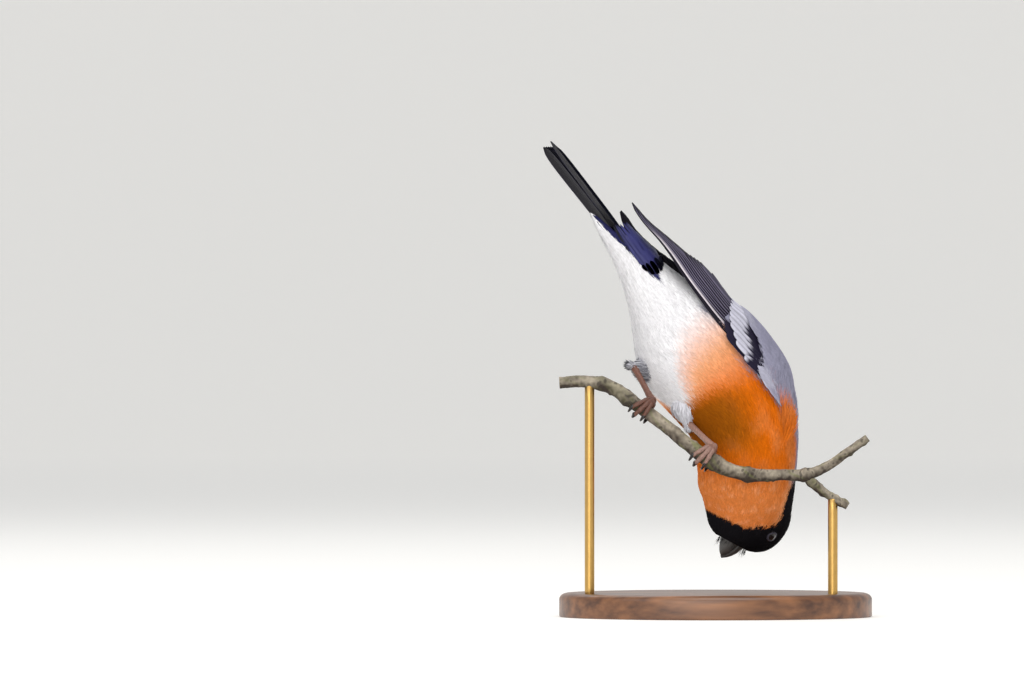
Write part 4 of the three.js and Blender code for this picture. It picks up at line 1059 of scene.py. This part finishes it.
for side, sign in (("right", 1), ("left", -1)):
    centre, out = eye_out(sign)
    eye = mesh_piece(f"eyeball_{side}", *ball_shape(centre, out, EYE_RADIUS), eye_material)
    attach(eye, "root")
    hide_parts(f"eye_{side}")
    lid = mesh_piece(f"lid_{side}", *lid_shape(centre, out), lid_material)
    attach(lid, "root")


# The bill: two short, deep, swollen halves of dark horn that meet along the mouth, with a nostril pit at
# each side of the upper one and stiff bristles over its root.
BILL_CENTRE = np.array([5.7, SPINE_Y, 23.5])
BILL_AXES = frame_axes(118.0, 45.0)
BILL_ROOT, BILL_WIDTH = -6.5, 4.7
BILL_RINGS, BILL_SIDES = 34, 33
BILL_HALVES = {
    # tip, ridge at the root and at the tip, how late the ridge bends and how bluntly, share of the width
    "bill_upper": (5.3, 5.0, -2.7, 2.0, 0.62, 1.0),
    "bill_lower": (4.5, -5.2, -2.6, 2.6, 0.5, 0.94),
}
MOUTH_ROOT_UP, MOUTH_TIP_UP = -0.9, -2.0
NOSTRIL_FORWARD, NOSTRIL_UP, NOSTRIL_RADIUS, NOSTRIL_DEPTH = 0.4, 2.2, 0.45, 0.8
HORN_DARK, HORN_END = paint(68, 67, 66), paint(40, 40, 42)
BRISTLES, BRISTLE_RADIUS = 90, 0.07
HAIR_RINGS, HAIR_SIDES = 6, 4
horn_material, _ = attribute_material("bill_horn", 0.42, 700.0, 0.35, 0.2)


def bill_place(forward, up, right):
    """A point by how far it lies forward, up and right of the bill's centre."""
    ahead, over, beside = BILL_AXES
    return BILL_CENTRE + ahead * forward[..., None] + over * up[..., None] + beside * right[..., None]


def bill_half(upper, tip, ridge_root, ridge_tip, late, blunt, breadth):
    """Rings along one half: from the mouth line out to the ridge by a sine, narrowing to the tip."""
    t, turn = grid(0.992 * np.linspace(0, 1, BILL_RINGS), np.linspace(0, np.pi, BILL_SIDES))
    away = 1 if upper else -1
    mouth = MOUTH_ROOT_UP + (MOUTH_TIP_UP - MOUTH_ROOT_UP) * t**2 + away * 0.1
    profile = ridge_tip + (ridge_root - ridge_tip) * (1 - t**late) ** blunt
    edge = np.maximum(profile, mouth + 0.3) if upper else np.minimum(profile, mouth - 0.3)
    half = BILL_WIDTH * (1 - t**2.0) ** 0.7 * breadth
    forward = BILL_ROOT + (tip - BILL_ROOT) * t
    up = mouth + (edge - mouth) * np.sin(turn) ** 0.85
    right = half * np.cos(turn)
    if upper:
        beside = ((forward - NOSTRIL_FORWARD) ** 2 + (up - NOSTRIL_UP) ** 2) / NOSTRIL_RADIUS**2
        for side in (-1, 1):
            right = right - side * NOSTRIL_DEPTH * np.exp(-beside) * (np.sign(right) == side)
    rings = bill_place(forward, up, right)
    start = bill_place(*[np.array(v) for v in (BILL_ROOT, MOUTH_ROOT_UP + away, 0.0)])
    end = bill_place(*[np.array(v) for v in (tip + 0.05, mouth[-1, 0] + away * 0.15, 0.0)])
    points, faces = tube(rings, start, end)
    tone = 0.75 + 0.5 * np.clip((up - mouth) / (edge - mouth + 1e-6), 0, 1)
    colour = HORN_DARK * tone[..., None]
    return points, faces, np.concatenate([colour.reshape(-1, 3), [HORN_END] * 2])


for name, shape in BILL_HALVES.items():
    points, faces, colours = bill_half(name == "bill_upper", *shape)
    half_bill = mesh_piece(f"{name}_horn", points, faces, horn_material)
    wear_colours(half_bill, colours)
    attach(half_bill, "root")
    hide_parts(name)


def tapered_hairs(roots, tips, bow, radius):
    """Thin closed hairs from root to tip, bowed by a vector at mid length and coming to a point."""
    share = np.linspace(0, 1, HAIR_RINGS)
    line = (roots[:, None] + (tips - roots)[:, None] * share[:, None]
            + bow[:, None] * np.sin(np.pi * share)[:, None])
    along = unit(np.gradient(line, axis=1))
    first = unit(np.cross(along, [0.1, 1.0, 0.2]))
    second = np.cross(along, first)
    turn = full_turn(HAIR_SIDES)
    size = (radius * (1 - 0.85 * share))[None, :, None, None]
    rings = line[:, :, None] + size * (first[:, :, None] * np.cos(turn)[:, None]
                                       + second[:, :, None] * np.sin(turn)[:, None])
    count = len(roots)
    points = np.concatenate([rings.reshape(count, -1, 3), line[:, :1], line[:, -1:]], 1)
    faces = outward(points[0] - points[0].mean(0), tube_faces(HAIR_RINGS, HAIR_SIDES))
    return points.reshape(-1, 3), copies(faces, points.shape[1], count)


bristle_turn = draw.uniform(0, 2 * np.pi, BRISTLES)
bristle_root = bill_place(draw.uniform(-1.6, 0.2, BRISTLES), 5.0 * np.cos(bristle_turn) - 0.2,
                          4.9 * np.sin(bristle_turn))
bristle_tip = bristle_root + BILL_AXES[0] * draw.uniform(1.2, 3.0, BRISTLES)[:, None] + (
    bristle_root - BILL_CENTRE) * draw.uniform(-0.05, 0.12, BRISTLES)[:, None]
bristle_material, _ = new_material("bristle", paint(14, 13, 15), 0.45)
bristles = mesh_piece("bill_bristles", *tapered_hairs(
    bristle_root, bristle_tip, draw.normal(0, 0.12, (BRISTLES, 3)), BRISTLE_RADIUS), bristle_material)
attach(bristles, "root")


# The twig: a living twig's bark, grey-green with lichen, with swollen nodes and two cut ends. It forks at
# the right, and the bird's toes wrap it.
TWIG_Y = -13.5
TWIG = np.array([
    # x, z, radius
    (-52.0, 77.8, 1.9), (-43.7, 78.3, 2.0), (-35.0, 76.4, 2.25), (-27.0, 71.0, 2.2), (-17.7, 64.2, 2.15),
    (-10.0, 57.9, 2.2), (-2.3, 52.2, 2.5), (5.5, 48.6, 2.3), (13.5, 47.2, 2.1), (22.0, 47.4, 1.8),
    (29.7, 47.4, 1.9), (37.0, 50.4, 1.5), (43.0, 54.6, 1.4), (50.0, 59.6, 1.3),
])
FORK = np.array([(28.6, 47.6, 1.5), (35.4, 41.8, 1.4), (43.4, 37.0, 1.25)])
# knots as x and radius
KNOTS = [(-38.0, 2.6), (-29.5, 2.7), (-1.0, 3.0), (10.5, 2.9), (29.5, 2.5)]
FORK_KNOTS = [(33.0, 1.7)]
KNOT_LONG, SWOLLEN_LONG = 1.6, 2.2
WARTS, WART_LONG, WART_ROUND = 46, 0.7, 0.35
# how much lichen the bark carries, by x
LICHEN_AT, LICHEN_SHARE = [-30, -12, 8, 22, 40], [0.25, 0.8, 1.0, 0.6, 0.4]
# the pale bark colour also serves as the painted highlight on the twig's upper side, the dark one as the
# painted shade underneath and on its dark knots
BARK_DARK, BARK_PALE, LICHEN_GREEN = paint(50, 40, 32), paint(176, 165, 146), paint(108, 112, 64)
CUT_WOOD = paint(214, 190, 140)
bark_material, _ = attribute_material("bark", 0.85, 900.0, 0.9, 1.0)


def twig_centre(stations, place):
    """The middle of the twig at a station number."""
    row = smooth_through(stations, place)
    return np.stack([row[..., 0], np.full(row.shape[:-1], TWIG_Y), row[..., 1]], -1)


def twig_shape(stations, knots, steps, sides, seed):
    """A tube along the stations: their radius, bulges at the knots, shallow ridges and raised lichen."""
    place, turn = grid(np.linspace(0, len(stations) - 1, steps), full_turn(sides))
    centre = twig_centre(stations, place)
    along = unit(np.gradient(centre, axis=0))
    across = unit(np.cross(along, [0.0, 1.0, 0.0]))
    over = np.cross(across, along)
    radius = smooth_through(stations, place)[..., 2]
    for x, size in knots:
        near = np.exp(-(((centre[..., 0] - x) / KNOT_LONG) ** 2))
        lean = 0.75 + 0.35 * np.cos(turn - x)
        radius = radius + near * np.maximum(size - radius, 0) * lean
    mm = centre[..., 0]
    round_x, round_y = 1.6 * np.cos(turn), 1.6 * np.sin(turn)
    patch = waves(mm * 0.35 + round_x, round_y, seed + 5)
    lichen = ramp(patch, 0.2, 0.8) * np.interp(mm, LICHEN_AT, LICHEN_SHARE)
    wrinkle = waves(mm * 0.3, round_x, seed, low=1.0, high=3.0) + waves(mm * 0.3, round_y, seed + 2, high=3.0)
    speckle = (waves(mm * 1.1, round_x, seed + 7, count=16, low=1.5, high=5.0)
               + waves(mm * 1.1 + 9, round_y, seed + 8, count=16, low=1.5, high=5.0)) * 0.7
    radius = radius * (1 + 0.01 * wrinkle + 0.022 * speckle) + 0.1 * lichen
    swollen = np.clip(sum(np.exp(-(((mm - x) / SWOLLEN_LONG) ** 2)) for x, _ in knots), 0, 1)
    pick = np.random.default_rng(seed + 1)
    for at, side in zip(pick.uniform(mm.min(), mm.max(), WARTS), pick.uniform(0, 2 * np.pi, WARTS)):
        turned = 2 * np.sin((turn - side) / 2)
        near = np.exp(-(((mm - at) / WART_LONG) ** 2 + (turned / WART_ROUND) ** 2))
        radius = radius + pick.uniform(0.15, 0.5) * near
    rings = centre + radius[..., None] * (across * np.cos(turn)[..., None] + over * np.sin(turn)[..., None])
    # the bark is painted paler on the side that faces up and towards the camera and darker underneath, as
    # painted highlight and painted shade, and its lichen is painted a little stronger on that upper side
    upper = ((rings - centre) @ np.array([0.0, -0.5, 0.87])) / radius
    tone = blend(BARK_DARK, BARK_PALE, 0.2 + 0.42 * upper + 0.1 * wrinkle + 0.14 * speckle - 0.2 * swollen)
    tone = blend(tone, LICHEN_GREEN, lichen * (0.5 + 0.3 * upper))
    tone = blend(tone, BARK_DARK * 0.5, 0.75 * ramp(speckle + 0.7 * swollen, 0.7, 1.5))
    points, faces = tube(rings, centre[0, 0], centre[-1, 0])
    return points, faces, np.concatenate([tone.reshape(-1, 3), [CUT_WOOD] * 2])


for name, stations, knots, steps, sides, seed in (
        ("perch_twig", TWIG, KNOTS, 520, 40, 3), ("perch_fork", FORK, FORK_KNOTS, 90, 28, 11)):
    points, faces, colours = twig_shape(stations, knots, steps, sides, seed)
    piece = mesh_piece(name, points, faces, bark_material)
    wear_colours(piece, colours)
    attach(piece, "root")
    if stations is TWIG:
        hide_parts("perch")


# Legs: thighs feathered down to the hock, bare shanks with a row of scutes down the front, and toes of
# scaly skin that wrap the twig, each with a curved black claw.
SHANK_RADIUS, PAD_RADIUS, TOE_RADIUS, CLAW_RADIUS, GAP = 0.95, 1.5, 0.92, 0.72, 0.3
SHANK_STEPS, TOE_STEPS, CLAW_STEPS, PAD_STEPS = 60, 44, 24, 16
PAD_REACH = 1.3
TOES = [
    # reach along the twig, turn round it, size
    (2.0, -120, 1.15), (-4.4, 118, 0.98), (-2.2, 152, 1.06), (0.6, 124, 0.96),
]
FEET = {
    # place along the twig, hock, then the thigh's root as section number, degrees round and radius
    "left": (-23.6, (-27.2, -1.5, 83.2), 5.65, -165, 4.4),
    "right": (-3.4, (-9.2, -2.5, 64.6), 6.6, 180, 5.2),
}
TUFTS = 1500
# the leg skin's own colour; the far left leg is painted darker than the near right one as painted shade
LEG_COLOUR_AND_SHADE = {"left": paint(104, 66, 52), "right": paint(150, 116, 104)}
THIGH_WHITE = paint(222, 222, 230)
# painted shade on the thigh tufts, much darker on the far left thigh than on the near right one
THIGH_PAINTED_SHADE = {"left": paint(112, 112, 120), "right": paint(206, 208, 222)}
THIGH_SHADOW_WAY = np.array([0.8, 0.2, -0.3])
leg_material, _ = attribute_material("leg_skin", 0.5, 1500.0, 0.4, 0.4)
claw_material, _ = new_material("claw_horn", paint(24, 20, 20), 0.3)


def twig_axes(x):
    """The twig's middle at an x, the ways along it, towards the viewer and up from it, and its radius."""
    many = np.linspace(0, len(TWIG) - 1, 1301)
    place = np.interp(x, twig_centre(TWIG, many)[:, 0], many)
    centre = twig_centre(TWIG, place)
    along = unit(twig_centre(TWIG, place + 0.1) - twig_centre(TWIG, place - 0.1))
    near = np.array([0.0, -1.0, 0.0])
    over = unit(np.cross(along, near))
    over = over if over[2] > 0 else -over
    return centre, along, near, over, smooth_through(TWIG, place)[2]


def grip(axes, along_by, turn, clear):
    """A point so far along the twig, turned so many degrees round it and so far from its middle."""
    centre, along, near, over, _ = axes
    turn = np.radians(turn)
    return (centre + along * np.asarray(along_by)[..., None]
            + over * (clear * np.cos(turn))[..., None] + near * (clear * np.sin(turn))[..., None])


def limb(line, radius, reference, sides=18, scutes=0, depth=0.0):
    """A closed tube of round section along a line, with scutes as steps that swell and fall back."""
    along = unit(np.gradient(line, axis=0))
    across = unit(np.cross(along, reference))
    over = np.cross(across, along)
    turn = full_turn(sides)
    share = np.linspace(0, 1, len(line))
    step = (share * scutes) % 1.0
    size = radius * (1 + depth * (1 - step) ** 2 * (scutes > 0))
    rings = line[:, None] + size[:, None, None] * (
        across[:, None] * np.cos(turn)[:, None] + over[:, None] * np.sin(turn)[:, None])
    return tube(rings, line[0] - along[0] * radius[0] * 0.3, line[-1] + along[-1] * radius[-1] * 0.3)


def bare_piece(name, shapes, material, colour):
    """Joins closed shapes to one piece, mottled a little."""
    points, faces = joined(shapes)
    piece = mesh_piece(name, points, faces, material)
    if colour is not None:
        mottle = 1 + 0.18 * waves(points[:, 0] * 2.2, points[:, 2] * 2.2 + points[:, 1], 4)
        wear_colours(piece, np.clip(colour * mottle[:, None], 0, 1))
    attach(piece, "root")
    return piece


def thigh_tufts(side, hock, at, around, radius):
    """Downy feathers that run along the thigh to its hock and end in a loose cuff."""
    root_point = body(at, around, -5.0)
    hock = np.array(hock)
    axis = unit(hock - root_point)
    first, second = round_axes(axis)

    def surface(u, v, lift):
        u, v = np.asarray(u, float), np.asarray(v, float)
        line = root_point + (hock - root_point) * u[..., None]
        size = radius * (1 - 0.76 * np.clip(u, 0, 1.03) ** 3) + lift
        turn = 2 * np.pi * v
        return line + size[..., None] * (first * np.cos(turn)[..., None] + second * np.sin(turn)[..., None])

    spread = even_scatter(TUFTS)
    root = np.stack([0.25 + 0.78 * spread[:, 0], spread[:, 1]], -1)
    long_by = draw.uniform(2.0, 3.8, TUFTS) / np.linalg.norm(hock - root_point)
    tip = root + np.stack([long_by, draw.normal(0, 0.02, TUFTS)], -1)
    beside = surface(root[:, 0], root[:, 1], np.zeros(TUFTS)) - root_point
    beside = beside - (hock - root_point) * root[:, :1]
    # the tufts are painted darker on the side turned away from the light: painted shade
    shadow = ramp(beside @ THIGH_SHADOW_WAY + draw.normal(0, 0.4, TUFTS), -1.0, 1.6)
    shade = blend(THIGH_WHITE, THIGH_PAINTED_SHADE[side], shadow) * draw.normal(1, 0.05, TUFTS)[:, None]
    tufts = coat_piece(f"thigh_{side}_tufts", surface, root, tip, draw.uniform(0.25, 0.7, TUFTS), shade,
                       FINE_THICK, draw.uniform(-0.6, 1.3, TUFTS), np.full(TUFTS, 0.6), root * [0.5, 1])
    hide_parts(f"thigh_{side}")
    u, v = grid(np.linspace(0, 0.97, 24), np.linspace(0, 1, 28, endpoint=False))
    core_points, core_faces = tube(surface(u, v, -0.7), root_point, hock - axis * 0.6)
    core = mesh_piece(f"thigh_{side}_core", core_points, core_faces, down_material)
    wear_colours(core, np.broadcast_to(THIGH_WHITE, (len(core_points), 3)))
    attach(core, "root")


for side, (x, hock, at, around, radius) in FEET.items():
    axes = twig_axes(x)
    base = grip(axes, 0.0, -4.0, np.array(axes[4] + GAP + PAD_RADIUS + 0.1))
    share = np.linspace(0, 1, SHANK_STEPS)
    shank_line = np.array(hock) + (base - np.array(hock)) * share[:, None]
    waist = SHANK_RADIUS * (1.3 - 0.3 * np.sin(np.pi * share))
    shank_shape = limb(shank_line, waist, [0.0, 0.0, 1.0], scutes=9, depth=0.09)
    shank = bare_piece(f"shank_{side}_skin", [shank_shape], leg_material, LEG_COLOUR_AND_SHADE[side])
    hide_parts(f"shank_{side}")
    toes, claws = [], []
    for along_by, turn, size in TOES:
        clear = axes[4] + GAP + TOE_RADIUS + 0.12
        share = np.linspace(0, 1, TOE_STEPS)
        line = grip(axes, along_by * share**0.8, turn * share, clear + 0.5 * (1 - share))
        pads = 1 + 0.09 * np.cos(6 * np.pi * share)
        toes.append(limb(line, TOE_RADIUS * size * (1 - 0.28 * share) * pads, axes[1], scutes=11, depth=0.08))
        share = np.linspace(0, 1, CLAW_STEPS)
        hook = turn + np.sign(turn) * 62 * (share - 0.2)
        line = grip(axes, np.full(CLAW_STEPS, along_by), hook, clear + 0.6 * np.sin(np.pi * share))
        claws.append(limb(line, CLAW_RADIUS * size * (1 - 0.86 * share), axes[1], sides=12))
    pad_line = base + axes[1] * np.linspace(-PAD_REACH, PAD_REACH, PAD_STEPS)[:, None]
    pad_size = PAD_RADIUS * np.sqrt(np.clip(1 - np.linspace(-0.97, 0.97, PAD_STEPS) ** 2, 0.02, 1))
    toes.append(limb(pad_line, pad_size, [0.0, 1.0, 0.0]))
    foot = bare_piece(f"foot_{side}_skin", toes, leg_material, LEG_COLOUR_AND_SHADE[side] * 0.8)
    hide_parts(f"foot_{side}")
    bare_piece(f"claws_{side}", claws, claw_material, None)
    thigh_tufts(side, hock, at, around, radius)


# The stand: an oval of turned and varnished hardwood, and two brass rods let into it that carry the twig.
BASE_LONG, BASE_DEEP, BASE_HIGH = 52.0, 40.0, 8.0
BASE_EDGE, FOOT_EDGE, BASE_SIDES = 2.2, 0.6, 160
ROD_RADIUS, ROD_SUNK, ROD_EDGE = 1.6, 5.0, 0.3
RODS = [("left", -42.0, TWIG), ("right", 38.5, FORK)]
ROD_RINGS, ROD_SIDES = 12, 40
WOOD_DARK, WOOD, WOOD_PALE = paint(70, 40, 24), paint(110, 70, 42), paint(142, 94, 58)
BRASS = paint(196, 158, 92)


def wood_material():
    """Hardwood under varnish: stretched noise for the grain, pores as a fine bump, and a clear coat."""
    material, shader = new_material("stand_wood", WOOD, 0.4)
    tree = material.node_tree
    place = add_node(tree, "TexCoord", {})
    turned = add_node(tree, "Mapping", {"Vector": place.outputs["Object"], "Scale": (18.0, 260.0, 260.0)})
    grain = add_node(tree, "TexNoise", {"Vector": turned.outputs[0], "Scale": 1.0, "Detail": 6.0})
    pores = add_node(tree, "TexNoise", {"Vector": turned.outputs[0], "Scale": 6.0, "Detail": 2.0})
    tones = add_node(tree, "ValToRGB", {"Fac": grain.outputs["Fac"]})
    for element, at, colour in zip(tones.color_ramp.elements, (0.32, 0.72), (WOOD_DARK, WOOD_PALE)):
        element.position = at
        element.color = (*colour, 1)
    raised = add_node(tree, "Bump", {"Height": pores.outputs["Fac"], "Strength": 0.12, "Distance": 0.0002})
    feed(tree, shader, {"Base Color": tones.outputs["Color"], "Normal": raised.outputs["Normal"],
                        "Coat Weight": 0.35, "Coat Roughness": 0.25})
    return material


def base_shape():
    """An upright section turned round an oval: a rounded foot, a straight side and a rounded upper edge."""
    corner = np.linspace(0, np.pi / 2, 9)
    foot = np.stack([-FOOT_EDGE + FOOT_EDGE * np.sin(corner), FOOT_EDGE - FOOT_EDGE * np.cos(corner)], -1)
    brow = np.stack([-BASE_EDGE + BASE_EDGE * np.cos(corner),
                     BASE_HIGH - BASE_EDGE + BASE_EDGE * np.sin(corner)], -1)
    inner = np.array([[-38.0, 0.0], [-20.0, 0.0], [-5.0, 0.0]])
    top = np.array([[-6.0, BASE_HIGH], [-20.0, BASE_HIGH], [-38.0, BASE_HIGH]])
    profile = np.concatenate([inner, foot, brow, top])
    turn = full_turn(BASE_SIDES)
    inset = profile[:, 0, None]
    ring_x = (BASE_LONG + inset * BASE_LONG / BASE_DEEP) * np.cos(turn)
    ring_y = (BASE_DEEP + inset) * np.sin(turn)
    ring_z = np.broadcast_to(profile[:, 1, None], ring_x.shape)
    return tube(np.stack([ring_x, ring_y, ring_z], -1), np.zeros(3), np.array([0.0, 0.0, BASE_HIGH]))


base = mesh_piece("stand_base_wood", *base_shape(), wood_material())
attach(base, "root")
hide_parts("stand_base")

brass_material, brass_shader = new_material("stand_brass", BRASS, 0.32)
brass_tree = brass_material.node_tree
drawn = add_node(brass_tree, "Group", {}, node_tree=FINE_STREAKS)
feed(brass_tree, drawn, {"Color": (*BRASS, 1), "Scale": 350.0, "Amount": 0.25})
feed(brass_tree, brass_shader, {"Base Color": drawn.outputs["Color"], "Metallic": 1.0})

for name, x, stations in RODS:
    many = twig_centre(stations, np.linspace(0, len(stations) - 1, 600))
    top = np.interp(x, many[:, 0], many[:, 2]) - ROD_EDGE
    height = np.concatenate([np.linspace(BASE_HIGH - ROD_SUNK, top - ROD_EDGE, ROD_RINGS), [top]])
    size = np.concatenate([np.full(ROD_RINGS, ROD_RADIUS), [ROD_RADIUS - ROD_EDGE]])
    turn = full_turn(ROD_SIDES)
    rings = np.stack([x + size[:, None] * np.cos(turn), TWIG_Y + size[:, None] * np.sin(turn),
                      np.broadcast_to(height[:, None], (ROD_RINGS + 1, ROD_SIDES))], -1)
    shape = tube(rings, np.array([x, TWIG_Y, height[0]]), np.array([x, TWIG_Y, height[-1]]))
    rod = mesh_piece(f"stand_rod_{name}_brass", *shape, brass_material)
    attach(rod, "root")
    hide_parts(f"stand_rod_{name}")
